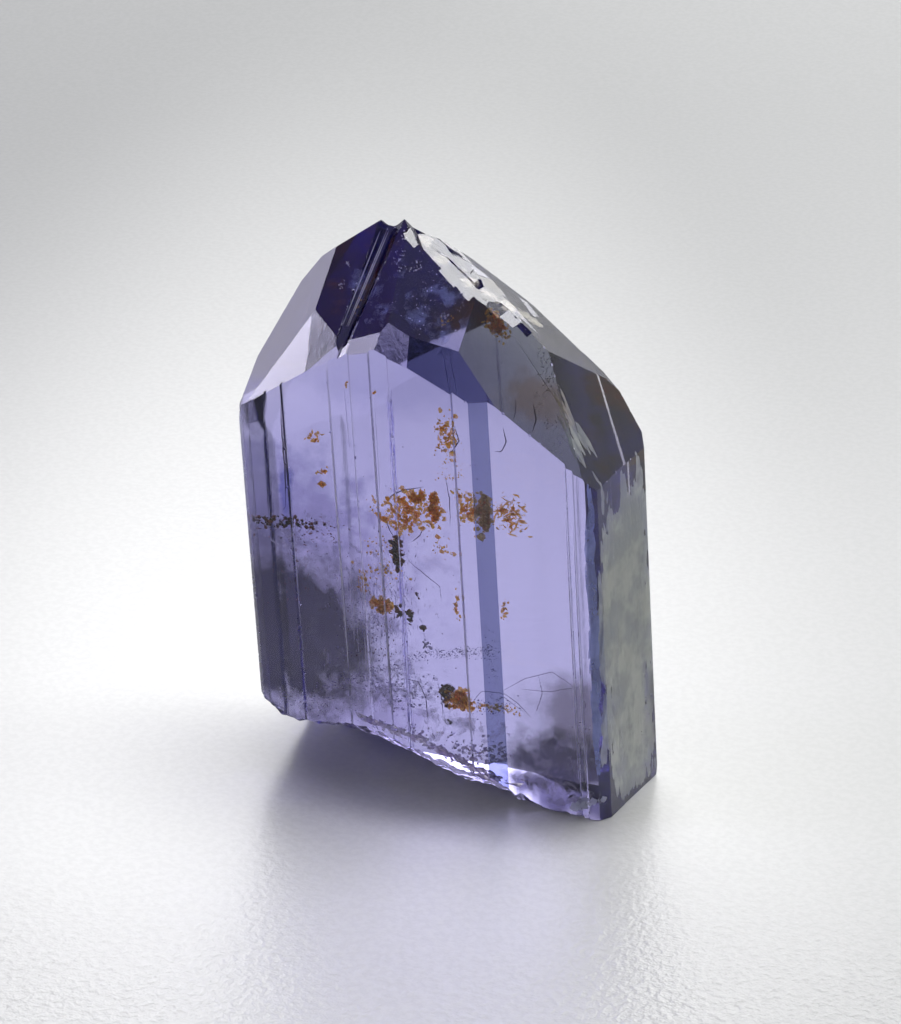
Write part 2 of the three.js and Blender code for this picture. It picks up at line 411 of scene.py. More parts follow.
@dataclass(frozen=True)
class Stage:
    """A pearly pale floor that sweeps up into a plain backdrop."""

    below: float = 0.02
    reach: float = 600.0
    bend_from: float = 90.0
    bend_radius: float = 200.0
    wall: float = 320.0
    steps: int = 24
    finish: PearlyFloor = field(default_factory=PearlyFloor)

    def build(self) -> Object:
        """Makes the sweep as one sheet, flat under the stone and curved up behind it."""
        rows = [(-self.reach, 0.0), (0.0, 0.0), (self.bend_from, 0.0)]
        for i in range(1, self.steps + 1):
            turn = math.pi / 2 * i / self.steps
            far, high = math.sin(turn), 1 - math.cos(turn)
            rows.append((self.bend_from + self.bend_radius * far, self.bend_radius * high))
        rows.append((self.bend_from + self.bend_radius, self.bend_radius + self.wall))
        side, back = StudioCamera().level_ways()
        verts = [(back * far + side * aside + Vector((0, 0, high - self.below))) * MM
                 for far, high in rows for aside in (-self.reach, self.reach)]
        faces = [(2 * i, 2 * i + 1, 2 * i + 3, 2 * i + 2) for i in range(len(rows) - 1)]
        mesh = bpy.data.meshes.new("backdrop_sweep")
        mesh.from_pydata(verts, [], faces)
        mesh.shade_smooth()
        mesh.materials.append(self.finish.build())
        return placed("backdrop_sweep", mesh)


@dataclass
class Studio:
    """Everything around the stone: camera, sweep, soft light and the picture's settings."""

    camera: StudioCamera = field(default_factory=StudioCamera)
    stage: Stage = field(default_factory=Stage)
    air: Colour = (0.05, 0.052, 0.056)
    lit_from: float = 10.0
    softboxes: tuple[Softbox, ...] = (
        Softbox("overhead_box", 50.0, 68.0, 240.0, (150.0, 100.0), 8.0),
        Softbox("window_box", 108.0, 32.0, 190.0, (170.0, 90.0), 4.6),
        Softbox("rear_wall", 92.0, 10.0, 230.0, (170.0, 60.0), 1.0),
        Softbox("rear_card", 52.0, 12.0, 230.0, (110.0, 40.0), 0.55),
        Softbox("right_window", 53.0, 24.0, 220.0, (110.0, 34.0), 4.0),
        Softbox("left_wall", 198.0, 18.0, 300.0, (346.0, 66.0), 2.9, (0.97, 0.93, 1.2)),
        Softbox("left_box", 198.6, 20.0, 290.0, (75.0, 80.0), 7.2, (0.97, 0.93, 1.15)),
        Softbox("crown_box", 227.0, 31.0, 300.0, (50.0, 40.0), 4.3, (0.97, 0.92, 1.25)),
        Softbox("roof_card", 210.0, 40.0, 300.0, (70.0, 50.0), 0.38, (0.58, 0.42, 1.0)),
        Softbox("side_box", 25.0, 32.0, 250.0, (80.0, 60.0), 7.0),
        Softbox("groove_box", -4.0, 10.0, 300.0, (60.0, 40.0), 2.5),
        Softbox("front_card", -75.0, 53.0, 250.0, (200.0, 110.0), 0.35, (0.88, 0.8, 1.0)),
        Softbox("front_fill", -60.0, 10.0, 260.0, (200.0, 60.0), 4.2),
    )
    light_paths: tuple[tuple[str, float], ...] = (
        ("max_bounces", 14), ("transmission_bounces", 14), ("glossy_bounces", 10), ("diffuse_bounces", 3),
        ("transparent_max_bounces", 12), ("volume_bounces", 0), ("blur_glossy", 0.2),
        ("sample_clamp_indirect", 3.0), ("use_denoising", True),
    )

    def build(self) -> None:
        """Sets up camera, sweep, lamps, air light and the picture's settings."""
        self.camera.place()
        self.stage.build()
        for box in self.softboxes:
            box.place(Vector((0.0, 0.0, self.lit_from)) * MM)
        world = bpy.data.worlds.new("studio_air")
        world.use_nodes = True
        feed(world.node_tree, world.node_tree.nodes["Background"], Color=(*self.air, 1.0), Strength=1.0)
        scene = bpy.context.scene
        scene.world = world
        scene.view_settings.view_transform = "Standard"
        scene.view_settings.look = "None"
        for name, value in self.light_paths:
            setattr(scene.cycles, name, value)
        log.info("studio: camera, sweep and %d softboxes", len(self.softboxes))


# ---- the stone's finish ----------------------------------------------------------------------------


@dataclass(frozen=True)
class FaceLook:
    """How one crystal face differs from clear stone: its tint, which is painted shade where it is dark, and
    its frost.
    """

    bearing: float
    slope: float
    tint: Colour = WHITE
    frost: float = 0.0

    def normal(self) -> Vector:
        """The direction the face looks to, in the frame."""
        return AXES.outward(self.bearing, self.slope)


# Bearing, slope, tint and frost of each face. The almost black tint at -75.6, the dark grey-green at -61.8
# and the dark blue at -74.2 are painted shade on faces that look into the stone's dark; the pale and
# yellowish tints are the faces' own tone.
FACE_LOOKS = tuple(FaceLook(*look) for look in (
    (-98.9, 53.7, WHITE, 0.12),
    (-107.3, 62.1, WHITE, 0.08),
    (-105.3, 61.8, (0.85, 0.82, 0.9), 0.12),
    (-101.0, 65.6, WHITE, 0.12),
    (-95.6, 61.5, (1.0, 0.95, 1.0), 0.08),
    (-79.5, 64.9, (1.0, 0.95, 1.0), 0.15),
    (-75.6, 65.1, (0.035, 0.04, 0.09), 0.04),
    (-71.7, 54.8, WHITE, 0.3),
    (-61.8, 57.9, (0.17, 0.21, 0.13), 0.16),
    (-124.5, 55.4, (0.9, 0.9, 0.8), 0.15),
    (-8.2, 62.6, (1.0, 1.0, 0.8), 0.2),
    (-6.3, 90.0, (0.95, 0.95, 0.75), 0.15),
    (-2.0, 90.0, (0.95, 0.95, 0.75), 0.15),
    (7.9, 37.8, (1.0, 1.0, 0.9), 0.35),
    (15.6, 40.5, (1.0, 1.0, 0.9), 0.35),
    (15.4, 43.2, (1.0, 1.0, 0.9), 0.35),
    (-29.0, 45.0, (1.0, 0.98, 0.9), 0.5),
    (-27.0, 45.0, (1.0, 0.98, 0.9), 0.5),
    (20.0, 51.0, (1.0, 1.0, 0.9), 0.3),
    (-33.8, 77.6, WHITE, 0.35),
    (-74.2, 90.0, (0.1, 0.122, 0.25), 0.2),
    (-132.5, 90.0, WHITE, 0.7),
    (-102.5, 90.0, WHITE, 0.5),
    (-45.0, 90.0, WHITE, 0.6),
    (-127.0, 90.0, WHITE, 0.6),
))
PLAIN_LOOK = FaceLook(0.0, 0.0)
BREAK_LOOK = FaceLook(0.0, 180.0, (0.95, 0.9, 0.97), 0.14)
BREAK_FACES_DOWN = (-0.998, -0.3)
FACE_TOLERANCE = math.cos(math.radians(2.5))


@dataclass(frozen=True)
class TintAndShadePatch:
    """A soft ragged patch on the stone that tints it, darkening it with painted shade where it lies on the
    back, and frosts it, in the frame's millimetres.
    """

    at: Place
    half: Place
    tint: Colour
    ragged: float = 0.25
    frost: float = 0.0
    grain: float = 900.0
    fades: Spot = (1.2, 0.5)

    def share(self, tree: NodeTree, place: NodeSocket) -> NodeSocket:
        """How much of the patch there is at a place, from 0 where the stone is clear to 1 in the middle."""
        uneven = spread_of(tree, noise_of(tree, place, self.grain, 4.0), 0.3, 0.7, -self.ragged, self.ragged)
        return spread_of(tree, reckon(tree, "ADD", reach_of(tree, place, self.at, self.half), uneven),
                         *self.fades)


@dataclass(frozen=True)
class TanzaniteFinish:
    """Clear violet-blue stone with striated, etched and frosted faces. Depths are in millimetres."""

    density: float = 180.0
    passes: Colour = (0.094, 0.039, 0.644)
    tint_name: str = "face_tint_and_shade"
    frost_name: str = "face_frost"
    polished: float = 0.015
    frosted: float = 0.5
    patches: float = 700.0
    stria: float = 9000.0
    stria_drawn: Place = (1.0, 1.0, 0.012)
    stria_strength: float = 0.18
    stria_deep: float = 0.02
    etch: float = 3600.0
    etch_deep: float = 0.012
    tints_and_painted_shade: tuple[TintAndShadePatch, ...] = (
        # The first seven patches lie on the back of the stone and are painted shade: they darken what shows
        # through the broad face, almost black at the lower left and lower right and milder over the left and
        # the top. The last two tint a patch high on the right brown-beige and a short upright streak at the
        # left dark blue.
        TintAndShadePatch((-6.7, 2.5, 4.3), (4.3, 0.9, 4.8), (0.004, 0.0035, 0.008), ragged=0.18),
        TintAndShadePatch((-6.4, 2.5, 7.6), (5.6, 0.9, 4.4), (0.5, 0.46, 0.6), ragged=0.3),
        TintAndShadePatch((-4.2, 2.4, 1.6), (3.4, 0.9, 1.8), (0.6, 0.55, 0.7), frost=0.2),
        TintAndShadePatch((6.8, 2.4, 2.9), (3.7, 0.9, 2.3), (0.13, 0.12, 0.12), ragged=0.12, frost=0.25),
        TintAndShadePatch((5.2, 2.4, 0.7), (3.2, 0.9, 1.6), (0.01, 0.009, 0.016), ragged=0.2, frost=0.3),
        TintAndShadePatch((-2.6, 2.5, 16.4), (5.2, 0.9, 2.0), (0.62, 0.62, 0.72), ragged=0.1),
        TintAndShadePatch((-6.6, 2.5, 10.5), (3.4, 0.9, 3.0), (0.6, 0.6, 0.72), ragged=0.3, frost=0.2),
        TintAndShadePatch((4.7, -1.2, 17.4), (1.9, 0.9, 1.3), (0.8, 0.55, 0.36)),
        TintAndShadePatch((-6.2, -2.6, 11.9), (0.4, 0.4, 1.9), (0.2, 0.22, 0.5)),
    )

    def build(self) -> Material:
        """Makes the stone's material."""
        material, tree, shader, place = new_material("tanzanite_stone")
        colour = node(tree, "ShaderNodeAttribute", attribute_name=self.tint_name).outputs["Color"]
        worn = node(tree, "ShaderNodeAttribute", attribute_name=self.frost_name).outputs["Fac"]
        # Each patch multiplies the colour; the dark ones on the back are painted shade.
        for tint_and_shade in self.tints_and_painted_shade:
            share = tint_and_shade.share(tree, place)
            colour = blend_of(tree, share, colour, tint_and_shade.tint, "MULTIPLY")
            if tint_and_shade.frost:
                worn = reckon(tree, "ADD", worn, reckon(tree, "MULTIPLY", share, tint_and_shade.frost))
        patchy = spread_of(tree, noise_of(tree, place, self.patches, 3.0), 0.35, 0.65, 0.35)
        worn = reckon(tree, "MULTIPLY", worn, patchy)
        rough = reckon(tree, "ADD", reckon(tree, "MULTIPLY", worn, self.frosted), self.polished)
        feed(tree, shader, Base_Color=colour, Roughness=rough, Normal=self.relief(tree, place, worn),
             IOR=REFRACTION, Transmission_Weight=1.0)
        absorb = node(tree, "ShaderNodeVolumeAbsorption", Density=self.density, Color=(*self.passes, 1.0))
        tree.links.new(absorb.outputs[0], tree.nodes["Material Output"].inputs["Volume"])
        return material

    def relief(self, tree: NodeTree, place: NodeSocket, worn: NodeSocket) -> NodeSocket:
        """Makes growth striae up the prism, and etching where the faces are frosted.

        Args:
            tree: the stone's node tree.
            place: Object coordinates.
            worn: how frosted the face is, from 0 to 1.

        Returns:
            The surface's normal.
        """
        lean = (math.radians(AXES.lean_back), math.radians(AXES.lean_left), 0.0)
        drawn = node(tree, "ShaderNodeMapping", vector_type="POINT", Vector=place, Rotation=lean,
                     Scale=self.stria_drawn).outputs[0]
        lines = node(tree, "ShaderNodeBump", Strength=self.stria_strength, Distance=self.stria_deep * MM,
                     Height=noise_of(tree, drawn, self.stria, 3.0, 0.7)).outputs[0]
        return node(tree, "ShaderNodeBump", Strength=worn, Distance=self.etch_deep * MM,
                    Height=noise_of(tree, place, self.etch, 4.0, 0.65), Normal=lines).outputs[0]


# ---- shapes that repeat ----------------------------------------------------------------------------


class Shape(Enum):
    """The small bodies that lie in the stone, as how they are stretched and how uneven they are."""

    CHUNK = (EVEN, 0.35)
    PLATE = ((1.0, 0.35, 1.0), 0.45)
    NEEDLE = ((0.12, 0.12, 1.0), 0.2)
    BUBBLE = (EVEN, 0.0)
    FLAKE = ((1.0, 0.03, 0.8), 0.3)

    def mesh(self, seed: int, fine: int = 1) -> Mesh:
        """Makes the body about one unit across.

        Args:
            seed: picks the unevenness.
            fine: subdivisions of the ball it starts from.

        Returns:
            A closed mesh.
        """
        stretch, uneven = self.value
        work = bmesh.new()
        bmesh.ops.create_icosphere(work, subdivisions=fine, radius=0.5)
        for vert in work.verts:
            push = noise.noise(vert.co * 3.1 + Vector((seed * 7.7, 0.0, 0.0)))
            vert.co *= 1.0 + uneven * 2.0 * push
            vert.co = Vector(side * way for side, way in zip(vert.co, stretch))
        return settled(work, f"{self.name.lower()}_{seed}")


class GrowthTree:
    """Geometry Nodes that grow many bodies from a start mesh, in millimetres."""

    name = "growth"
    sizes: tuple[tuple[str, str], ...] = ()

    def __init__(self) -> None:
        """Builds the tree once for everything that grows by it."""
        self.tree = bpy.data.node_groups.new(self.name, "GeometryNodeTree")
        sockets = (("Start", "Geometry"), *self.sizes, ("Seed", "Int"), ("Finish", "Material"))
        for name, kind in sockets:
            self.tree.interface.new_socket(name, in_out="INPUT", socket_type=f"NodeSocket{kind}")
        self.tree.interface.new_socket("Grown", in_out="OUTPUT", socket_type="NodeSocketGeometry")
        self.group = self.tree.nodes.new("NodeGroupInput").outputs
        dressed = self.add("GeometryNodeSetMaterial", Geometry=self.wire(), Material=self.group["Finish"])
        self.tree.links.new(dressed, self.tree.nodes.new("NodeGroupOutput").inputs[0])

    def add(self, kind: str, **values) -> NodeSocket:
        """Adds a node to the tree and gives back its first output."""
        return node(self.tree, kind, **values).outputs[0]

    def wire(self) -> NodeSocket:
        """Connects the nodes that make the bodies, up to the realized geometry."""
        raise NotImplementedError

    def grow(self, start: Mesh, values: dict[str, object]) -> Mesh:
        """Runs the tree on a mesh and gives back the plain result.

        Args:
            start: the mesh it starts from, which is used up.
            values: the tree's inputs by name.

        Returns:
            A new mesh.
        """
        holder = placed("holder", start)
        modifier = holder.modifiers.new("grow", "NODES")
        modifier.node_group = self.tree
        for item in self.tree.interface.items_tree:
            if item.name in values:
                modifier[item.identifier] = values[item.name]
        made = evaluated(holder)
        bpy.data.objects.remove(holder)
        bpy.data.meshes.remove(start)
        return made


class ScatterTree(GrowthTree):
    """Throws copies of a small body into a soft cloud."""

    name = "scatter"
    sizes = (
        ("Count", "Int"), ("Half Size", "Vector"), ("Clump", "Float"), ("Clump Scale", "Float"),
        ("Smallest", "Float"), ("Largest", "Float"), ("Stretch", "Vector"), ("Turn", "Vector"),
        ("Roughen", "Float"),
    )

    def _random(self, kind: str, low, high, shift: int) -> NodeSocket:
        """A random value for each point, from its own seed.

        Args:
            kind: FLOAT or FLOAT_VECTOR.
            low: lowest value.
            high: highest value.
            shift: added to the tree's seed.

        Returns:
            The value.
        """
        seed = reckon(self.tree, "ADD", self.group["Seed"], float(shift))
        made = node(self.tree, "FunctionNodeRandomValue", data_type=kind, Seed=seed)
        first = 0 if kind == "FLOAT_VECTOR" else 2
        fill(self.tree, made.inputs[first], low)
        fill(self.tree, made.inputs[first + 1], high)
        return made.outputs[first // 2]

    def wire(self) -> NodeSocket:
        """Throws, sizes and turns the copies, and roughens each in its own way."""
        tree, group = self.tree, self.group
        throws = [self._random("FLOAT_VECTOR", (-1.0, -1.0, -1.0), EVEN, shift) for shift in (0, 1, 2)]
        total = reckon(tree, "VECTOR_ADD", reckon(tree, "VECTOR_ADD", throws[0], throws[1]), throws[2])
        loose = reckon(tree, "VECTOR_MULTIPLY", reckon(tree, "VECTOR_SCALE", total, 0.55), group["Half Size"])
        shift = reckon(tree, "VECTOR_SCALE", (3.7, 1.9, 5.3), group["Seed"])
        swirl = reckon(tree, "VECTOR_ADD", loose, shift)
        drift = wander_of(tree, swirl, group["Clump Scale"], 2.0, group["Clump"])
        spots = reckon(tree, "VECTOR_ADD", loose, drift)
        points = self.add("GeometryNodePoints", Count=group["Count"], Position=spots)
        chance = reckon(tree, "POWER", self._random("FLOAT", 0.0, 1.0, 5), 2.2)
        size = self.add("ShaderNodeMapRange", Value=chance, To_Min=group["Smallest"], To_Max=group["Largest"])
        least = reckon(tree, "VECTOR_SCALE", group["Turn"], -1.0)
        angles = self._random("FLOAT_VECTOR", least, group["Turn"], 9)
        copies = self.add("GeometryNodeInstanceOnPoints", Points=points, Instance=group["Start"],
                          Rotation=self.add("FunctionNodeEulerToRotation", Euler=angles),
                          Scale=reckon(tree, "VECTOR_SCALE", group["Stretch"], size))
        real = self.add("GeometryNodeRealizeInstances", Geometry=copies)
        grit = wander_of(tree, self.add("GeometryNodeInputPosition"), 9.0, 1.0, group["Roughen"])
        return self.add("GeometryNodeSetPosition", Geometry=real, Offset=grit)


class StrandTree(GrowthTree):
    """Turns drawn lines into thin tapered strands."""

    name = "strands"
    sizes = (("Radius", "Float"), ("Wander", "Float"))

    def wire(self) -> NodeSocket:
        """Lets the lines wander and gives them a round body, thin at both ends."""
        tree, group = self.tree, self.group
        line = self.add("GeometryNodeMeshToCurve", Mesh=group["Start"])
        steps = self.add("GeometryNodeResampleCurve", mode="LENGTH", Curve=line, Length=0.12)
        shift = reckon(tree, "VECTOR_SCALE", (2.3, 4.1, 1.7), group["Seed"])
        here = reckon(tree, "VECTOR_ADD", self.add("GeometryNodeInputPosition"), shift)
        stray = wander_of(tree, here, 1.6, 3.0, group["Wander"])
        moved = self.add("GeometryNodeSetPosition", Geometry=steps, Offset=stray)
        along = reckon(tree, "SUBTRACT", self.add("GeometryNodeSplineParameter"), 0.5)
        ends = reckon(tree, "POWER", reckon(tree, "ABSOLUTE", along), 2.0)
        thin = reckon(tree, "SUBTRACT", 1.05, reckon(tree, "MULTIPLY", ends, 3.6))
        ring = self.add("GeometryNodeCurvePrimitiveCircle", Resolution=5, Radius=group["Radius"])
        tube = self.add("GeometryNodeCurveToMesh", Curve=moved, Profile_Curve=ring, Scale=thin,
                        Fill_Caps=True)
        return self.add("GeometryNodeRealizeInstances", Geometry=tube)


# ---- the crystal -----------------------------------------------------------------------------------


@dataclass(frozen=True)
class EdgeNicks:
    """Tiny chips out of the crystal's edges.

    A nick's middle lies somewhere in slide along its stretch of the edge, and inset times its size
    outside it. Two nicks are at least apart times their sizes from each other.
    """

    sharp: float = 24.0
    pitch: float = 0.55
    smallest: float = 0.04
    largest: float = 0.2
    lowest: float = 1.2
    slide: Spot = (0.2, 0.8)
    inset: Spot = (0.1, 0.32)
    uneven: Spot = (0.7, 1.3)
    apart: float = 0.62
    kinds: int = 6
    seed: int = 11

    def places(self, stone: BMesh) -> list[tuple[Vector, float]]:
        """Picks places along the sharp edges, far enough apart for the nicks not to meet.

        Args:
            stone: the stone's mesh.

        Returns:
            Each nick's middle in metres, and its size in millimetres.
        """
        draw = random.Random(self.seed)
        found: list[tuple[Vector, float]] = []
        for edge in stone.edges:
            if len(edge.link_faces) != 2 or not edge.is_convex:
                continue
            if edge.calc_face_angle() < math.radians(self.sharp):
                continue
            length = edge.calc_length() / MM
            start, end = (vert.co for vert in edge.verts)
            if min(start.z, end.z) < self.lowest * MM or length < self.pitch:
                continue
            out = (edge.link_faces[0].normal + edge.link_faces[1].normal).normalized()
            for i in range(int(length / self.pitch)):
                size = self.smallest + (self.largest - self.smallest) * draw.random() ** 3
                along = (i + draw.uniform(*self.slide)) * self.pitch / length
                middle = start.lerp(end, along) + out * size * draw.uniform(*self.inset) * MM
                if all((middle - other).length > self.apart * (size + wide) * MM for other, wide in found):
                    found.append((middle, size))
        return found

    def cutter(self, stone: BMesh) -> Mesh:
        """Makes all nicks as one mesh of small uneven bodies.

        Args:
            stone: the stone's mesh.

        Returns:
            The bodies to take out of it.
        """
        draw = random.Random(self.seed + 1)
        bodies = [Shape.CHUNK.mesh(seed) for seed in range(self.kinds)]
        work = bmesh.new()
        for middle, size in self.places(stone):
            before = len(work.verts)
            work.from_mesh(bodies[draw.randrange(len(bodies))])
            work.verts.ensure_lookup_table()
            turn = Matrix.Rotation(draw.uniform(0, math.tau), 4, Vector((draw.random(), draw.random(), 1.0)))
            scale = Matrix.Diagonal((size, size * draw.uniform(*self.uneven), size, 1.0))
            spot = Matrix.Translation(middle) @ turn @ Matrix.Scale(MM, 4) @ scale
            for vert in work.verts[before:]:
                vert.co = spot @ vert.co
        return settled(work, "nick_cutters")


@dataclass(frozen=True)
class CrestPan:
    """One flat-bottomed chip on the crest: its corners as across and up, and which way its floor looks."""

    bearing: float
    slope: float
    bite: float
    corners: tuple[Spot, ...]
    height: float = 0.8
    widening: float = 0.8

    def cutter(self, sight: SightLine) -> Mesh:
        """Makes the chip's shape, which widens outwards.

        Args:
            sight: finds its corners on the stone.

        Returns:
            A closed mesh.
        """
        floor = AXES.outward(self.bearing, self.slope)
        across, up = (sum(side) / len(self.corners) for side in zip(*self.corners))
        middle = sight.entry(across, up)[0] - floor * self.bite * MM
        work = bmesh.new()
        for across, up in self.corners:
            ray = (AXES.to_frame(across, 0.0, up) - sight.eye).normalized()
            place = sight.eye + ray * ((middle - sight.eye).dot(floor) / ray.dot(floor))
            work.verts.new(place)
            work.verts.new(place + floor * self.height * MM + (place - middle) * self.widening)
        bmesh.ops.convex_hull(work, input=work.verts)
        bmesh.ops.delete(work, geom=[vert for vert in work.verts if not vert.link_faces], context="VERTS")
        bmesh.ops.recalc_face_normals(work, faces=work.faces[:])
        return settled(work, "crest_cutter")


@dataclass(frozen=True)
class BrokenCrest:
    """The creased bright chips that run into each other along the crest, in the order they broke off."""

    pans: tuple[CrestPan, ...] = (
        CrestPan(-43.0, 38.0, 0.16, (
            (-6.98, 24.06), (-6.74, 23.36), (-6.09, 22.69), (-5.44, 22.15), (-4.61, 21.67), (-3.93, 21.51),
            (-3.34, 21.87), (-4.37, 22.68), (-5.61, 23.47), (-6.42, 24.12))),
        CrestPan(-40.0, 40.0, 0.16, (
            (-4.59, 21.93), (-3.93, 21.47), (-3.1, 21.03), (-2.11, 20.35), (-1.8, 20.42), (-2.32, 21.1),
            (-3.34, 21.91), (-4.05, 22.32))),
        CrestPan(-49.0, 41.0, 0.24, (
            (-6.22, 23.41), (-5.8, 23.19), (-4.83, 22.29), (-4.42, 21.86), (-4.77, 21.87), (-5.59, 22.48))),
        CrestPan(-41.0, 35.0, 0.26, (
            (-6.95, 24.08), (-6.6, 24.3), (-6.2, 24.2), (-6.15, 23.72), (-6.59, 23.59))),
        CrestPan(-36.0, 36.0, 0.3, (
            (-5.79, 23.41), (-5.28, 23.28), (-4.61, 22.91), (-4.94, 22.54), (-5.39, 22.84))),
        CrestPan(-44.0, 36.0, 0.3, (
            (-4.72, 22.6), (-4.21, 22.52), (-3.62, 22.23), (-3.14, 21.76), (-3.83, 21.74), (-4.33, 21.99))),
        CrestPan(-36.0, 39.0, 0.28, ((-2.89, 21.61), (-2.54, 21.6), (-2.1, 21.04), (-2.46, 20.92))),
    )

    def cutters(self, sight: SightLine) -> list[Mesh]:
        """Makes every chip's shape."""
        return [pan.cutter(sight) for pan in self.pans]


@dataclass(frozen=True)
class SplinteredBreak:
    """The fine facets of the broken base."""

    facing_down: float = -0.3
    highest: float = 4.2
    rest_up_to: float = 0.02
    lowest: float = 0.03
    shortest: float = 0.12
    cuts: int = 2
    coarse: float = 0.11
    coarse_scale: float = 2.1
    fine: float = 0.045
    fine_scale: float = 6.3

    def roughen(self, stone: BMesh) -> int:
        """Splits the faces of the break and moves their corners along the prism, so that it stays true.

        Args:
            stone: the stone's mesh.

        Returns:
            How many corners were moved.
        """
        broken = [
            face for face in stone.faces
            if face.normal.z < self.facing_down
            and self.rest_up_to * MM < max(vert.co.z for vert in face.verts) < self.highest * MM
        ]
        edges = {edge for face in broken for edge in face.edges}
        long_edges = [edge for edge in edges if edge.calc_length() > self.shortest * MM]
        bmesh.ops.subdivide_edges(stone, edges=long_edges, cuts=self.cuts, use_grid_fill=True)
        bmesh.ops.triangulate(stone, faces=stone.faces[:])
        up = AXES.turn() @ Vector((0.0, 0.0, 1.0))
        moved = 0
        for vert in stone.verts:
            if vert.co.z > self.highest * MM or vert.co.z < self.lowest * MM:
                continue
            if not any(face.normal.z < self.facing_down for face in vert.link_faces):
                continue
            at = vert.co / MM
            push = self.coarse * noise.noise(at * self.coarse_scale)
            push += self.fine * noise.noise(at * self.fine_scale)
            vert.co += up * push * MM
            vert.co.z = max(vert.co.z, 0.0)
            moved += 1
        return moved


@dataclass
class Crystal:
    """The stone itself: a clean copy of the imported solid, with its fine surface.

    Corners within same_place metres are joined, and faces within same_plane degrees become one.
    """

    finish: TanzaniteFinish = field(default_factory=TanzaniteFinish)
    nicks: EdgeNicks = field(default_factory=EdgeNicks)
    crest: BrokenCrest = field(default_factory=BrokenCrest)
    base: SplinteredBreak = field(default_factory=SplinteredBreak)
    same_place: float = 1e-7
    same_plane: float = 0.6

    def build(self) -> Object:
        """Makes the stone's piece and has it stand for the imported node."""
        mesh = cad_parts[NODE].data.copy()
        mesh.name = "tanzanite_stone"
        work = bmesh.new()
        work.from_mesh(mesh)
        bmesh.ops.remove_doubles(work, verts=work.verts, dist=self.same_place)
        flat = math.radians(self.same_plane)
        bmesh.ops.dissolve_limit(work, angle_limit=flat, verts=work.verts, edges=work.edges)
        nicks = self.nicks.cutter(work)
        moved = self.base.roughen(work)
        work.to_mesh(mesh)
        work.free()
        stone = placed("tanzanite_stone", mesh)
        for cutter in (nicks, *self.crest.cutters(SightLine(mesh, StudioCamera().eye()))):
            self._cut(stone, cutter)
        self._note_faces(stone.data)
        stone.data.materials.clear()
        stone.data.materials.append(self.finish.build())
        stone.data.shade_flat()
        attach(stone, BODY)
        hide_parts(NODE)
        log.info("stone: %d faces, %d corners of the break moved", len(stone.data.polygons), moved)
        return stone

    @staticmethod
    def _cut(stone: Object, cutter: Mesh) -> None:
        """Takes chips out of the stone and keeps the plain result.

        Args:
            stone: the stone.
            cutter: the shapes of the chips.
        """
        tool = placed("chips", cutter)
        modifier = stone.modifiers.new("chips", "BOOLEAN")
        modifier.operation = "DIFFERENCE"
        modifier.solver = "MANIFOLD"
        modifier.object = tool
        stone.data = evaluated(stone)
        stone.data.name = "tanzanite_stone"
        bpy.data.objects.remove(tool)

    def _note_faces(self, mesh: Mesh) -> None:
        """Writes each crystal face's tint, the dark ones being painted shade, and its frost into the mesh.

        Args:
            mesh: the stone's mesh.
        """
        mesh.attributes.new(self.finish.tint_name, "FLOAT_COLOR", "FACE")
        mesh.attributes.new(self.finish.frost_name, "FLOAT", "FACE")
        tints = mesh.attributes[self.finish.tint_name].data
        frosts = mesh.attributes[self.finish.frost_name].data
        known = [(look, look.normal()) for look in FACE_LOOKS]
        for face in mesh.polygons:
            look, fit = max(((one, face.normal.dot(way)) for one, way in known), key=lambda pair: pair[1])
            if fit < FACE_TOLERANCE:
                broken = BREAK_FACES_DOWN[0] < face.normal.z < BREAK_FACES_DOWN[1]
                look = BREAK_LOOK if broken else PLAIN_LOOK
            tints[face.index].color = (*look.tint, 1.0)
            frosts[face.index].value = look.frost


class SightLine:
    """Finds places in the stone along the line of sight, bent where it enters.

    A ray inside starts a skin's depth in, and a place lies at the furthest share of its way through.
    """

    upward = Vector((0.11, 0.17, 0.98))
    skin = 0.01
    furthest = 0.96

    def __init__(self, stone: Mesh, eye: Vector) -> None:
        """Keeps the stone's surface for casting.

        Args:
            stone: the stone's mesh.
            eye: where the looker stands.
        """
        work = bmesh.new()
        work.from_mesh(stone)
        self.surface = BVHTree.FromBMesh(work)
        work.free()
        self.eye = eye

    def entry(self, across: float, up: float) -> tuple[Vector, Vector, Vector]:
        """Where the line of sight through a place on the broad face's plane meets the stone.

        Args:
            across: millimetres along the broad face.
            up: millimetres up the prism.

        Returns:
            The place on the surface, its normal, and the bent direction inside.
        """
        ray = (AXES.to_frame(across, 0.0, up) - self.eye).normalized()
        hit, normal, _, _ = self.surface.ray_cast(self.eye, ray)
        if hit is None:
            raise ValueError(f"nothing of the stone shows at {across}, {up}")
        cosine = -ray.dot(normal)
        inner = math.sqrt(1.0 - (1.0 - cosine ** 2) / REFRACTION ** 2)
        return hit, normal, (ray / REFRACTION + normal * (cosine / REFRACTION - inner)).normalized()

    def inside(self, across: float, up: float, depth: float) -> Vector:
        """The place behind the surface on the bent line of sight, kept inside the stone.

        Args:
            across: millimetres along the broad face.
            up: millimetres up the prism.
            depth: millimetres along the bent line.

        Returns:
            The place in the frame.
        """
        hit, _, bent = self.entry(across, up)
        far, _, _, room = self.surface.ray_cast(hit + bent * self.skin * MM, bent)
        return hit + bent * (depth * MM if far is None else min(depth * MM, room * self.furthest))

    def holds(self, place: Vector, margin: float = 0.015) -> bool:
        """Whether a place lies inside the stone.

        Args:
            place: the place in the frame.
            margin: how far inside at least, in millimetres.

        Returns:
            True inside.
        """
        _, normal, _, _ = self.surface.ray_cast(place, self.upward)
        if normal is None or normal.dot(self.upward) <= 0.0:
            return False
        return self.surface.find_nearest(place)[3] > margin * MM


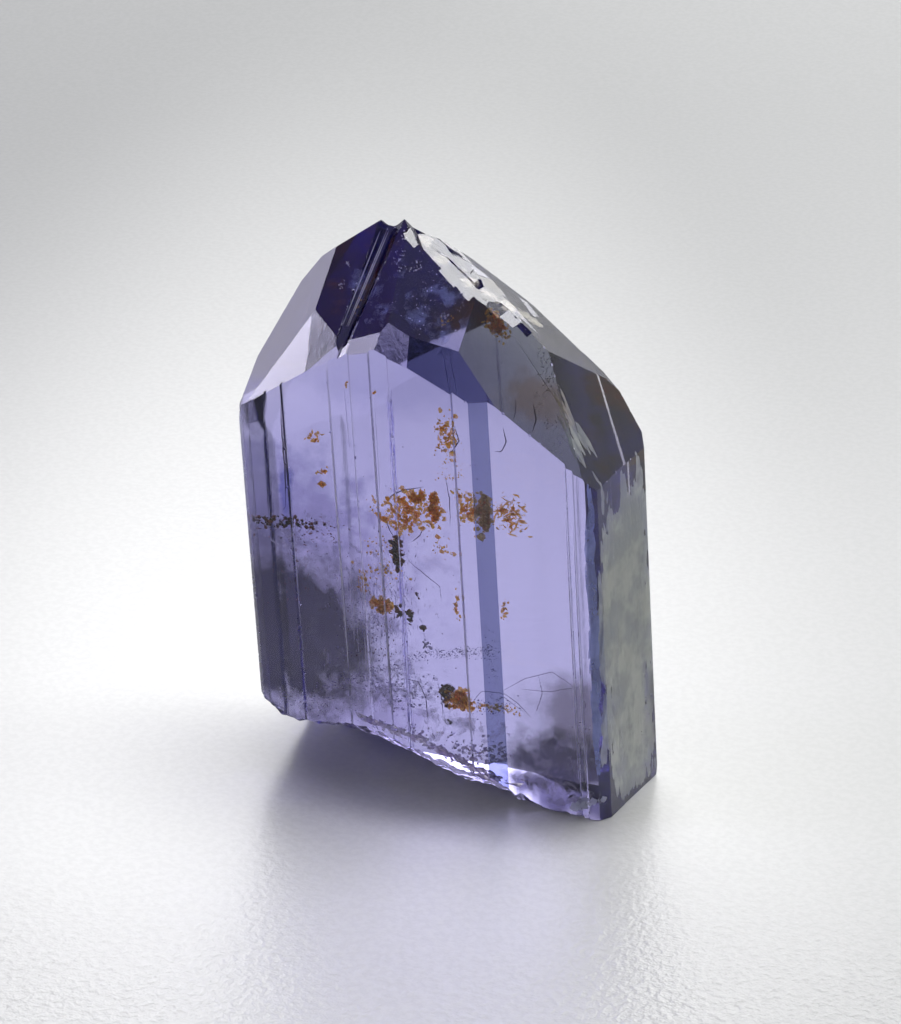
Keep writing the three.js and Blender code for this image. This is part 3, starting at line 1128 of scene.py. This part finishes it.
# ---- what lies in the stone ------------------------------------------------------------------------


@dataclass(frozen=True)
class InclusionFinish:
    """A small body's finish: two colours in soft patches, with its own gloss and see-through share."""

    name: str
    light: Colour
    dark: Colour
    patch: float
    roughness: float
    metallic: float = 0.0
    passes_light: float = 0.0
    cover: float = 1.0
    thinnest: float = 0.0
    bump: float = 0.3
    bump_deep: float = 0.03

    def build(self) -> Material:
        """Makes the finish's material."""
        material, tree, shader, place = new_material(self.name)
        patches = noise_of(tree, place, self.patch, 3.0)
        colour = blend_of(tree, spread_of(tree, patches, 0.35, 0.65), self.dark, self.light)
        rough = spread_of(tree, patches, 0.3, 0.7, self.roughness * 0.7, self.roughness * 1.2)
        bump = node(tree, "ShaderNodeBump", Strength=self.bump, Distance=self.bump_deep * MM, Height=patches)
        feed(tree, shader, Base_Color=colour, Roughness=rough, Normal=bump.outputs[0], Metallic=self.metallic,
             IOR=1.15 if self.passes_light else 1.5, Transmission_Weight=self.passes_light)
        if self.cover < 1.0:
            feed(tree, shader, Alpha=spread_of(tree, patches, 0.42, 0.66, self.thinnest, self.cover))
        return material


class Lie(Enum):
    """How a cloud lies: upright in the prism, or flat against the face it shows through."""

    UPRIGHT = "upright"
    ON_FACE = "on_face"


@dataclass(frozen=True)
class Cloud:
    """A soft cloud of small bodies. half is its reach along the face, into it and up it."""

    across: float
    up: float
    depth: float
    half: Place
    count: int
    smallest: float
    largest: float
    shape: Shape = Shape.CHUNK
    stretch: Place = EVEN
    turn: Place = (180.0, 180.0, 180.0)
    clump: float = 0.6
    clump_scale: float = 1.2
    roughen: float = 0.03
    tilt: float = 0.0
    fine: int = 1
    lie: Lie = Lie.UPRIGHT

    def grow(self, tree: ScatterTree, seed: int, sight: SightLine, finish: Material) -> Mesh:
        """Makes the cloud in the frame.

        Args:
            tree: makes clouds.
            seed: picks where the bodies lie.
            sight: finds the cloud's place in the stone.
            finish: the bodies' material.

        Returns:
            The bodies as one mesh.
        """
        made = tree.grow(self.shape.mesh(seed, self.fine), {
            "Count": self.count, "Half Size": self.half, "Clump": self.clump, "Clump Scale": self.clump_scale,
            "Smallest": self.smallest, "Largest": self.largest, "Stretch": self.stretch,
            "Turn": tuple(math.radians(side) for side in self.turn), "Roughen": self.roughen,
            "Seed": seed * 17, "Finish": finish,
        })
        along, into, upward = AXES.turn().transposed()
        if self.lie is Lie.ON_FACE:
            normal = sight.entry(self.across, self.up)[1]
            into = -normal
            along = upward.cross(normal).normalized()
            upward = normal.cross(along)
        basis = Matrix((along, into, upward)).transposed().to_4x4()
        basis = basis @ Matrix.Rotation(math.radians(self.tilt), 4, "Y")
        middle = sight.inside(self.across, self.up, self.depth)
        made.transform(Matrix.Translation(middle) @ basis @ Matrix.Scale(MM, 4))
        return made


@dataclass(frozen=True)
class Strand:
    """A thin line in the stone, through places given as across and up, at one depth."""

    depth: float
    radius: float
    through: tuple[Spot, ...]
    wander: float = 0.12

    def grow(self, tree: StrandTree, seed: int, sight: SightLine, finish: Material) -> Mesh:
        """Makes the strand in the frame.

        Args:
            tree: makes strands.
            seed: picks how it wanders.
            sight: finds its places in the stone.
            finish: its material.

        Returns:
            The strand's mesh.
        """
        line = bpy.data.meshes.new("line")
        verts = [sight.inside(across, up, self.depth) / MM for across, up in self.through]
        line.from_pydata(verts, [(i, i + 1) for i in range(len(verts) - 1)], [])
        made = tree.grow(line, {"Radius": self.radius, "Wander": self.wander, "Seed": seed, "Finish": finish})
        made.transform(Matrix.Scale(MM, 4))
        return made


def drop_outside(work: BMesh, sight: SightLine) -> int:
    """Deletes each body that doesn't lie wholly in the stone.

    Args:
        work: the bodies.
        sight: knows the stone.

    Returns:
        How many were deleted.
    """
    seen: set[int] = set()
    doomed: list[bmesh.types.BMVert] = []
    dropped = 0
    work.verts.index_update()
    for start in work.verts:
        if start.index in seen:
            continue
        body, queue = [], [start]
        seen.add(start.index)
        while queue:
            vert = queue.pop()
            body.append(vert)
            for edge in vert.link_edges:
                other = edge.other_vert(vert)
                if other.index not in seen:
                    seen.add(other.index)
                    queue.append(other)
        if not all(sight.holds(vert.co) for vert in body):
            doomed.extend(body)
            dropped += 1
    bmesh.ops.delete(work, geom=doomed, context="VERTS")
    return dropped


@dataclass
class Inclusions:
    """One kind of thing in the stone, as one piece. The order of its parts picks their seeds."""

    name: str
    finish: InclusionFinish
    clouds: tuple[Cloud, ...] = ()
    strands: tuple[Strand, ...] = ()

    def build(self, sight: SightLine, scatter: ScatterTree, strands: StrandTree) -> Object:
        """Makes the clouds and strands, drops what would poke out of the stone, and dresses the rest.

        Args:
            sight: finds their places in the stone.
            scatter: the tree for clouds.
            strands: the tree for strands.

        Returns:
            The finished piece.
        """
        material = self.finish.build()
        work = bmesh.new()
        for tree, parts in ((scatter, self.clouds), (strands, self.strands)):
            for i, part in enumerate(parts):
                mesh = part.grow(tree, i + 1, sight, material)
                work.from_mesh(mesh)
                bpy.data.meshes.remove(mesh)
        dropped = drop_outside(work, sight)
        bmesh.ops.recalc_face_normals(work, faces=work.faces[:])
        mesh = settled(work, self.name)
        mesh.materials.clear()  # sets every face back to the first slot
        mesh.materials.append(material)
        piece = placed(self.name, mesh)
        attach(piece, BODY)
        log.info("%s: %d faces, %d bodies dropped", self.name, len(mesh.polygons), dropped)
        return piece


# Clouds of each shape, which take the rest of a cloud's values.
chunks = partial(Cloud, shape=Shape.CHUNK)
specks = partial(chunks, lie=Lie.ON_FACE)
plates = partial(Cloud, shape=Shape.PLATE)
needles = partial(Cloud, shape=Shape.NEEDLE)
bubbles = partial(Cloud, shape=Shape.BUBBLE, clump=0.3)
flakes = partial(Cloud, shape=Shape.FLAKE)
films = partial(flakes, lie=Lie.ON_FACE, roughen=0.02)


def rust_flecks() -> Inclusions:
    """Orange-brown iron flecks: the patch in the middle, its echoes behind the step, and loose ones."""
    rust = InclusionFinish("iron_rust", (1.0, 0.6, 0.04), (1.0, 0.36, 0.012), 4200.0, 0.6, passes_light=0.75,
                           cover=0.98, thinnest=0.55)
    scales = partial(plates, turn=(25.0, 180.0, 25.0))
    splinters = partial(plates, stretch=(0.7, 0.5, 1.5))
    return Inclusions("rust_flecks", rust, clouds=(
        scales(-6.95, 12.75, 0.3, (0.34, 0.08, 0.62), 34, 0.12, 0.42, fine=3, roughen=0.3, clump=1.0,
               clump_scale=2.0),
        scales(-7.7, 13.15, 0.3, (0.34, 0.1, 0.14), 24, 0.1, 0.36, fine=3, roughen=0.3),
        scales(-8.35, 12.5, 0.3, (1.1, 0.2, 0.72), 420, 0.05, 0.24, roughen=0.05, clump=0.9),
        plates(-8.1, 12.1, 0.6, (0.7, 0.2, 0.2), 60, 0.08, 0.24, roughen=0.1),
        splinters(-5.6, 12.9, 0.8, (0.42, 0.2, 0.6), 150, 0.07, 0.28),
        scales(-4.9, 12.75, 0.7, (0.26, 0.15, 0.68), 110, 0.1, 0.32, fine=2, roughen=0.1),
        splinters(-3.75, 12.8, 0.8, (0.55, 0.2, 0.62), 190, 0.06, 0.26),
        plates(-6.3, 15.9, 0.6, (0.35, 0.2, 0.8), 110, 0.07, 0.26, roughen=0.08),
        chunks(-6.1, 14.6, 0.7, (0.6, 0.3, 0.9), 60, 0.03, 0.09),
        plates(-12.1, 15.25, 0.5, (0.26, 0.1, 0.22), 30, 0.08, 0.24, roughen=0.08),
        plates(-11.84, 13.98, 0.5, (0.18, 0.1, 0.09), 18, 0.1, 0.24, roughen=0.08),
        plates(-11.84, 13.3, 0.5, (0.16, 0.1, 0.09), 14, 0.1, 0.22, roughen=0.08),
        chunks(-10.5, 17.7, 0.4, (0.06, 0.05, 0.12), 8, 0.05, 0.1),
        chunks(-9.3, 17.4, 0.4, (0.06, 0.05, 0.06), 6, 0.06, 0.12),
        plates(-9.45, 8.35, 0.6, (0.3, 0.12, 0.28), 70, 0.1, 0.34, roughen=0.12, fine=2),
        plates(-10.3, 9.2, 0.6, (0.22, 0.15, 0.45), 44, 0.07, 0.22),
        chunks(-9.4, 10.1, 0.8, (0.9, 0.4, 1.2), 120, 0.04, 0.17),
        plates(-6.2, 8.7, 0.7, (0.14, 0.1, 0.5), 30, 0.08, 0.24),
        plates(-4.2, 8.8, 0.7, (0.12, 0.1, 0.5), 26, 0.07, 0.22),
        plates(-6.7, 11.0, 0.7, (0.4, 0.2, 0.4), 36, 0.06, 0.2),
        plates(-6.45, 4.5, 0.5, (0.42, 0.15, 0.36), 100, 0.1, 0.38, roughen=0.12, fine=2),
        chunks(-5.1, 4.3, 0.9, (1.3, 0.3, 0.14), 120, 0.05, 0.15),
        plates(-3.85, 20.6, 0.2, (0.3, 0.05, 0.55), 190, 0.08, 0.3, lie=Lie.ON_FACE, tilt=-30.0, clump=0.4),
        specks(-5.97, 20.6, 0.15, (0.25, 0.06, 0.2), 14, 0.04, 0.11),
        specks(-10.81, 21.39, 0.06, (0.1, 0.02, 0.1), 10, 0.05, 0.12),
        specks(-9.7, 21.1, 0.1, (0.16, 0.05, 0.5), 20, 0.03, 0.09),
    ))


def graphite_grains() -> Inclusions:
    """Black-brown grains: the large ones below the rust, the band at the left, and stray dots."""
    graphite = InclusionFinish("graphite_and_rust", (0.17, 0.05, 0.02), (0.02, 0.01, 0.01), 2200.0, 0.65)
    long = (0.7, 0.7, 1.5)
    return Inclusions("graphite_grains", graphite, clouds=(
        chunks(-8.75, 10.75, 0.8, (0.2, 0.15, 0.55), 26, 0.18, 0.5, stretch=(0.7, 0.6, 1.3), clump=0.2,
               roughen=0.12, fine=2),
        chunks(-8.85, 8.1, 0.8, (0.12, 0.1, 0.3), 12, 0.12, 0.32, stretch=long, clump=0.1),
        chunks(-8.4, 7.9, 0.8, (0.1, 0.1, 0.34), 12, 0.12, 0.32, stretch=(0.6, 0.6, 1.6), clump=0.1),
        chunks(-7.9, 8.9, 0.8, (0.16, 0.1, 0.16), 5, 0.1, 0.18, clump=0.1),
        chunks(-7.0, 4.75, 0.9, (0.35, 0.2, 0.3), 46, 0.1, 0.32, stretch=(1.2, 0.7, 0.8), tilt=30.0),
        chunks(-13.7, 11.55, 0.9, (1.7, 0.3, 0.16), 150, 0.05, 0.2, clump=0.5, clump_scale=2.5),
        chunks(-13.2, 11.1, 1.0, (1.9, 0.5, 0.8), 230, 0.02, 0.09, stretch=long, clump=0.9),
        needles(-9.0, 9.3, 1.0, (1.4, 0.5, 1.9), 230, 0.02, 0.08, stretch=(1.6, 1.6, 3.2),
                turn=(24.0, 24.0, 180.0)),
        chunks(-9.7, 6.9, 1.0, (1.2, 0.5, 1.4), 120, 0.02, 0.07, stretch=(0.7, 0.7, 1.8),
               turn=(20.0, 20.0, 180.0)),
        chunks(-8.3, 10.0, 0.8, (4.6, 0.5, 6.0), 150, 0.015, 0.05, clump=1.5),
        needles(-13.1, 9.0, 1.1, (1.5, 0.4, 1.4), 160, 0.02, 0.1, stretch=(1.5, 1.5, 3.0),
                turn=(35.0, 35.0, 180.0)),
        plates(-7.8, 7.45, 0.9, (0.04, 0.04, 0.05), 2, 0.25, 0.35, clump=0.0),
    ))


def fluid_bubbles() -> Inclusions:
    """Fine bubbles along a healed crack that arches over the base, and around the band at the left."""
    fluid = InclusionFinish("fluid_bubbles", (0.4, 0.36, 0.55), (0.14, 0.12, 0.22), 1800.0, 0.3)
    return Inclusions("fluid_bubbles", fluid, clouds=(
        bubbles(-6.0, 6.6, 1.4, (1.6, 0.2, 0.18), 420, 0.02, 0.06, tilt=-8.0),
        bubbles(-9.2, 5.7, 1.4, (1.6, 0.2, 0.2), 330, 0.02, 0.06, tilt=-22.0),
        bubbles(-11.6, 4.8, 1.4, (1.0, 0.2, 0.25), 220, 0.02, 0.06, tilt=-18.0),
        bubbles(-4.9, 6.6, 0.9, (0.22, 0.1, 1.5), 120, 0.02, 0.06, clump=0.6),
        bubbles(-10.6, 7.4, 1.6, (1.1, 0.5, 1.9), 520, 0.02, 0.07, clump=1.0),
        bubbles(-4.9, 4.5, 1.2, (0.9, 0.3, 0.35), 200, 0.02, 0.07, clump=0.6),
    ))


def hair_cracks() -> Inclusions:
    """Fine curved cracks: the outline above the rust, rims, and the net above the right-hand corner."""
    crack = InclusionFinish("hair_cracks", (0.14, 0.10, 0.16), (0.05, 0.035, 0.05), 1500.0, 0.4)
    return Inclusions("hair_cracks", crack, strands=tuple(Strand(*row) for row in (
        (0.5, 0.022, ((-9.2, 12.6), (-8.9, 13.1), (-8.2, 13.45), (-7.4, 13.6))),
        (0.5, 0.02, ((-6.45, 14.2), (-6.3, 13.2), (-6.35, 12.0))),
        (0.5, 0.02, ((-9.25, 12.3), (-9.0, 11.6), (-8.8, 11.3))),
        (0.5, 0.02, ((-8.1, 11.2), (-7.7, 11.5), (-7.5, 11.9))),
        (0.4, 0.025, ((-5.9, 16.3), (-5.75, 15.7), (-6.0, 15.2), (-6.3, 15.2))),
        (0.4, 0.025, ((-3.85, 16.4), (-3.72, 15.85), (-3.95, 15.4), (-4.25, 15.4))),
        (1.0, 0.012, ((-4.6, 5.0), (-3.5, 5.8), (-2.3, 6.2), (-1.2, 5.6), (-0.8, 5.3))),
        (1.0, 0.012, ((-3.7, 5.3), (-2.4, 5.35), (-1.5, 5.6), (-0.9, 5.9))),
        (1.0, 0.012, ((-4.6, 5.2), (-3.9, 4.7), (-3.3, 4.1))),
        (1.0, 0.012, ((-2.9, 6.0), (-2.75, 5.2), (-3.1, 4.3))),
        (1.0, 0.012, ((-5.9, 4.4), (-5.4, 5.0), (-4.6, 5.05), (-3.6, 4.3))),
        (1.0, 0.012, ((-1.1, 5.7), (-0.9, 4.9), (-1.2, 4.3))),
        (0.3, 0.025, ((0.35, 6.2), (0.9, 5.9), (1.3, 5.6), (2.0, 5.55))),
        (0.8, 0.02, ((-8.8, 5.2), (-8.2, 5.1), (-7.9, 4.4), (-7.9, 3.2))),
        (0.8, 0.02, ((-7.35, 5.2), (-7.2, 4.5), (-7.2, 3.7))),
        (0.9, 0.015, ((-8.3, 10.4), (-7.0, 9.4), (-6.9, 8.8))),
        (0.15, 0.02, ((-3.25, 17.6), (-3.3, 17.0), (-3.45, 16.7))),
        (0.15, 0.03, ((-2.5, 17.5), (-2.4, 16.9), (-2.6, 16.3))),
        (0.2, 0.035, ((-13.4, 16.6), (-13.45, 15.2), (-13.5, 13.9), (-13.6, 12.2))),
        (0.08, 0.02, ((-11.55, 21.7), (-11.9, 20.9), (-12.3, 20.0))),
    )))


def pale_lines() -> Inclusions:
    """Bright growth lines up the broad face, the scratch on the roof, and frosted spots on it."""
    growth = InclusionFinish("pale_growth_lines", (0.95, 0.93, 1.0), (0.75, 0.72, 0.95), 900.0, 0.35,
                             passes_light=0.3)
    short = (
        (0.07, 0.011, ((-10.9, 9.9), (-10.95, 6.4))), (0.07, 0.009, ((-10.75, 9.0), (-10.8, 5.2))),
        (0.07, 0.013, ((-10.45, 9.8), (-10.5, 3.6))), (0.07, 0.011, ((-10.2, 8.4), (-10.25, 4.4))),
        (0.07, 0.012, ((-10.6, 17.4), (-10.55, 15.0))), (0.07, 0.008, ((-9.3, 17.3), (-9.35, 12.5))),
        (0.06, 0.012, ((-6.22, 19.4), (-6.0, 17.6))), (0.06, 0.01, ((-5.95, 19.3), (-5.7, 17.5))),
        (0.06, 0.016, ((-3.1, 20.1), (-0.8, 16.6))), (0.05, 0.035, ((-10.3, 21.0), (-10.72, 19.95))),
    )
    upright = tuple((0.08, wide, ((across, high), (across, low))) for across, high, low, wide in (
        (-13.43, 16.4, 4.6, 0.026), (-13.36, 16.4, 9.0, 0.02), (-11.31, 17.3, 4.2, 0.026),
        (-10.36, 17.6, 4.0, 0.022), (-9.47, 17.8, 3.6, 0.022), (-8.67, 17.8, 3.4, 0.022),
        (-5.99, 16.4, 2.6, 0.022), (-1.38, 13.0, 1.6, 0.024), (-1.08, 12.6, 1.5, 0.024),
    ))
    scratch = tuple((0.06, wide, ((-8.42 + shift, 24.1), (-10.38 + shift * 0.7, 20.1))) for shift, wide in (
        (-0.24, 0.02), (-0.15, 0.028), (-0.06, 0.02), (0.03, 0.03), (0.12, 0.022), (0.2, 0.026),
    ))
    strands = tuple(Strand(*row, wander=0.0) for row in short + upright + scratch)
    return Inclusions("pale_lines", growth, strands=strands, clouds=(
        specks(-1.8, 18.2, 0.08, (0.45, 0.02, 2.2), 420, 0.02, 0.07),
        specks(-7.7, 23.4, 0.06, (0.35, 0.02, 0.8), 130, 0.015, 0.06),
        specks(-6.6, 21.2, 0.06, (1.2, 0.02, 1.1), 110, 0.015, 0.05),
        specks(-5.97, 20.75, 0.06, (0.22, 0.03, 0.2), 26, 0.03, 0.1),
        specks(-10.11, 22.7, 0.05, (0.1, 0.02, 0.1), 16, 0.02, 0.06),
        specks(-10.38, 21.91, 0.05, (0.1, 0.02, 0.14), 18, 0.02, 0.06),
        specks(-10.97, 22.16, 0.05, (0.06, 0.02, 0.06), 6, 0.03, 0.06),
        needles(1.3, 8.0, 0.1, (0.5, 0.05, 3.0), 40, 0.02, 0.07, stretch=(1.5, 1.0, 3.0),
                turn=(12.0, 12.0, 180.0), lie=Lie.ON_FACE),
        specks(-7.2, 22.9, 0.05, (0.5, 0.02, 0.5), 60, 0.02, 0.08),
    ))


def cloudy_veils() -> Inclusions:
    """Thin lilac-white films beside the graphite and over the base."""
    cloudy = InclusionFinish("cloudy_veils", (0.86, 0.82, 0.98), (0.5, 0.46, 0.64), 1500.0, 0.6, cover=0.26)
    veil = partial(flakes, fine=2, turn=(40.0, 12.0, 180.0))
    return Inclusions("cloudy_veils", cloudy, clouds=(
        veil(-12.9, 10.9, 0.9, (1.9, 0.3, 1.0), 60, 0.2, 0.7),
        veil(-9.9, 8.9, 1.1, (1.3, 0.3, 2.0), 60, 0.2, 0.8),
        veil(-9.0, 4.6, 1.2, (2.0, 0.4, 0.9), 110, 0.25, 1.0),
        veil(-6.6, 3.4, 0.9, (1.6, 0.3, 0.6), 70, 0.2, 0.8),
        veil(-2.4, 2.2, 0.9, (1.4, 0.3, 1.2), 70, 0.25, 1.0),
        veil(-2.4, 0.95, 0.5, (1.7, 0.2, 0.4), 90, 0.3, 0.9, tilt=12.0),
    ))


def roof_veils() -> Inclusions:
    """Thin blue films under the slopes of the roof."""
    blue = InclusionFinish("roof_veils", (0.35, 0.42, 0.95), (0.16, 0.18, 0.5), 1300.0, 0.6, cover=0.2)
    veil = partial(films, fine=3, turn=(14.0, 180.0, 14.0))
    return Inclusions("roof_veils", blue, clouds=(
        veil(-6.4, 20.9, 0.3, (1.7, 0.15, 1.3), 20, 0.4, 1.2),
        veil(-8.6, 21.3, 0.3, (0.6, 0.15, 1.5), 14, 0.3, 0.8),
        veil(-9.9, 21.6, 0.3, (0.4, 0.1, 1.0), 10, 0.3, 0.7),
    ))


def silty_veils() -> Inclusions:
    """Grey-beige films up the narrow right-hand face."""
    silt = InclusionFinish("silty_veils", (0.9, 0.94, 1.0), (0.74, 0.8, 0.96), 600.0, 0.6, cover=0.5,
                           thinnest=0.3)
    broad = partial(films, clump=0.1, fine=3)
    narrow = partial(films, clump=0.1, fine=2, stretch=(0.8, 1.0, 4.0), turn=(1.0, 8.0, 1.0))
    end = partial(broad, stretch=(1.0, 1.0, 3.0), turn=(1.0, 8.0, 1.5))
    return Inclusions("silty_veils", silt, clouds=(
        broad(1.05, 9.8, 0.3, (1.6, 0.1, 3.0), 130, 0.35, 0.8, stretch=(1.0, 1.0, 7.0), turn=(0.6, 8.0, 1.5)),
        broad(1.0, 5.0, 0.3, (1.6, 0.1, 3.0), 130, 0.35, 0.8, stretch=(1.0, 1.0, 5.0), turn=(0.8, 8.0, 1.5)),
        narrow(0.2, 8.0, 0.14, (0.42, 0.05, 4.8), 190, 0.14, 0.34),
        narrow(1.9, 8.0, 0.14, (0.42, 0.05, 5.4), 220, 0.14, 0.34),
        end(1.2, 12.4, 0.25, (1.4, 0.08, 1.0), 90, 0.25, 0.6),
        end(1.1, 2.0, 0.25, (1.5, 0.08, 1.5), 100, 0.25, 0.6),
        flakes(-1.1, 0.6, 0.3, (0.45, 0.1, 0.16), 18, 0.2, 0.5, fine=2, tilt=-30.0, turn=(40.0, 12.0, 40.0),
               roughen=0.02),
        films(-1.0, 16.6, 0.2, (0.5, 0.05, 1.6), 30, 0.3, 0.9, fine=2, stretch=(0.4, 1.0, 2.4),
              turn=(5.0, 12.0, 5.0)),
    ))


def edge_veils() -> Inclusions:
    """Thin blue films up the bevel between the broad face and the narrow one."""
    blue = InclusionFinish("edge_veils", (0.42, 0.5, 0.98), (0.3, 0.36, 0.8), 900.0, 0.6, cover=0.5,
                           thinnest=0.35)
    return Inclusions("edge_veils", blue, clouds=tuple(
        films(across, up, 0.15, (0.13, 0.04, 2.6), 50, 0.16, 0.3, stretch=(0.8, 1.0, 6.0), fine=2,
              turn=(1.0, 8.0, 1.0), clump=0.05)
        for across, up in ((-0.36, 11.0), (-0.4, 7.5), (-0.45, 4.5))))


def crest_feathers() -> Inclusions:
    """Silvery open cracks just under the chips of the crest."""
    silver = InclusionFinish("crest_feathers", (1.0, 0.97, 0.9), (0.9, 0.84, 0.76), 900.0, 0.3, metallic=0.7,
                             cover=0.66, thinnest=0.18)
    spots = ((-6.65, 23.9), (-6.0, 23.1), (-5.3, 22.75), (-4.8, 22.2), (-4.1, 21.85), (-3.4, 21.4),
             (-2.7, 21.15), (-2.25, 20.85))
    return Inclusions("crest_feathers", silver, clouds=tuple(
        films(across, up, 0.16, (0.26, 0.03, 0.2), 60, 0.08, 0.32, stretch=(1.5, 1.0, 0.8), fine=2,
              turn=(9.0, 30.0, 9.0), tilt=35.0, clump=0.1)
        for across, up in spots))


def milky_needles() -> Inclusions:
    """The soft grey haze of tiny needles beside the graphite and over the base."""
    milk = InclusionFinish("milky_needles", (0.72, 0.68, 0.8), (0.4, 0.36, 0.5), 1600.0, 0.6,
                           passes_light=0.4)
    haze = partial(plates, turn=(70.0, 70.0, 180.0))
    return Inclusions("milky_needles", milk, clouds=(
        needles(-9.8, 8.4, 2.2, (1.5, 0.8, 2.1), 700, 0.03, 0.12, stretch=(1.8, 1.8, 3.0),
                turn=(25.0, 25.0, 180.0), clump=0.8),
        haze(-9.3, 4.6, 2.2, (1.8, 0.7, 0.8), 500, 0.03, 0.14),
        needles(-12.3, 5.6, 0.8, (0.16, 0.1, 0.4), 26, 0.05, 0.12, stretch=(2.0, 2.0, 4.0),
                turn=(8.0, 8.0, 180.0)),
        plates(-7.7, 6.7, 1.0, (0.14, 0.06, 0.3), 16, 0.1, 0.25),
        haze(-13.0, 3.6, 1.0, (1.9, 0.6, 0.5), 260, 0.03, 0.12),
    ))


def base_feathers() -> Inclusions:
    """Small open cracks above the break, which glint, and the bright splinters of its front lip."""
    feather = InclusionFinish("open_feathers", (1.0, 0.97, 1.0), (0.95, 0.84, 1.0), 1300.0, 0.24,
                              metallic=0.5)
    crack = partial(flakes, turn=(55.0, 35.0, 40.0), roughen=0.01)
    lip = ((-10.4, 2.7), (-9.4, 2.5), (-8.4, 2.2), (-7.4, 1.8), (-6.4, 1.4), (-5.4, 1.05))
    return Inclusions("base_feathers", feather, clouds=(
        *(crack(across, up + 0.35, 0.4, (0.55, 0.15, 0.1), 110, 0.05, 0.3, stretch=(1.6, 1.0, 0.7), tilt=24.0)
          for across, up in lip),
        crack(-8.4, 2.9, 0.8, (1.4, 0.4, 0.25), 60, 0.04, 0.2),
        crack(-6.2, 2.3, 0.8, (1.3, 0.4, 0.4), 120, 0.04, 0.26),
        crack(-4.9, 2.3, 0.9, (0.8, 0.4, 0.5), 90, 0.04, 0.26),
        crack(-12.9, 3.6, 0.7, (0.9, 0.3, 0.25), 40, 0.03, 0.1),
        flakes(-4.1, 1.15, 0.4, (0.3, 0.1, 0.06), 6, 0.2, 0.5, stretch=(1.6, 1.0, 0.4),
               turn=(30.0, 8.0, 12.0), roughen=0.02),
        crack(-1.3, 3.8, 0.6, (0.5, 0.3, 0.3), 14, 0.04, 0.12),
        crack(1.4, 4.0, 0.4, (0.4, 0.2, 1.3), 26, 0.03, 0.12),
    ))


def main() -> None:
    """Builds the studio, the stone and what lies in it."""
    logging.basicConfig(level=logging.INFO, format="%(message)s")
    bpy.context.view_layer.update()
    studio = Studio()
    studio.build()
    stone = Crystal().build()
    sight = SightLine(stone.data, studio.camera.eye())
    scatter, strands = ScatterTree(), StrandTree()
    for make in (rust_flecks, graphite_grains, fluid_bubbles, hair_cracks, pale_lines, cloudy_veils,
                 roof_veils, silty_veils, edge_veils, crest_feathers, milky_needles, base_feathers):
        make().build(sight, scatter, strands)


if __name__ == "__main__":
    main()
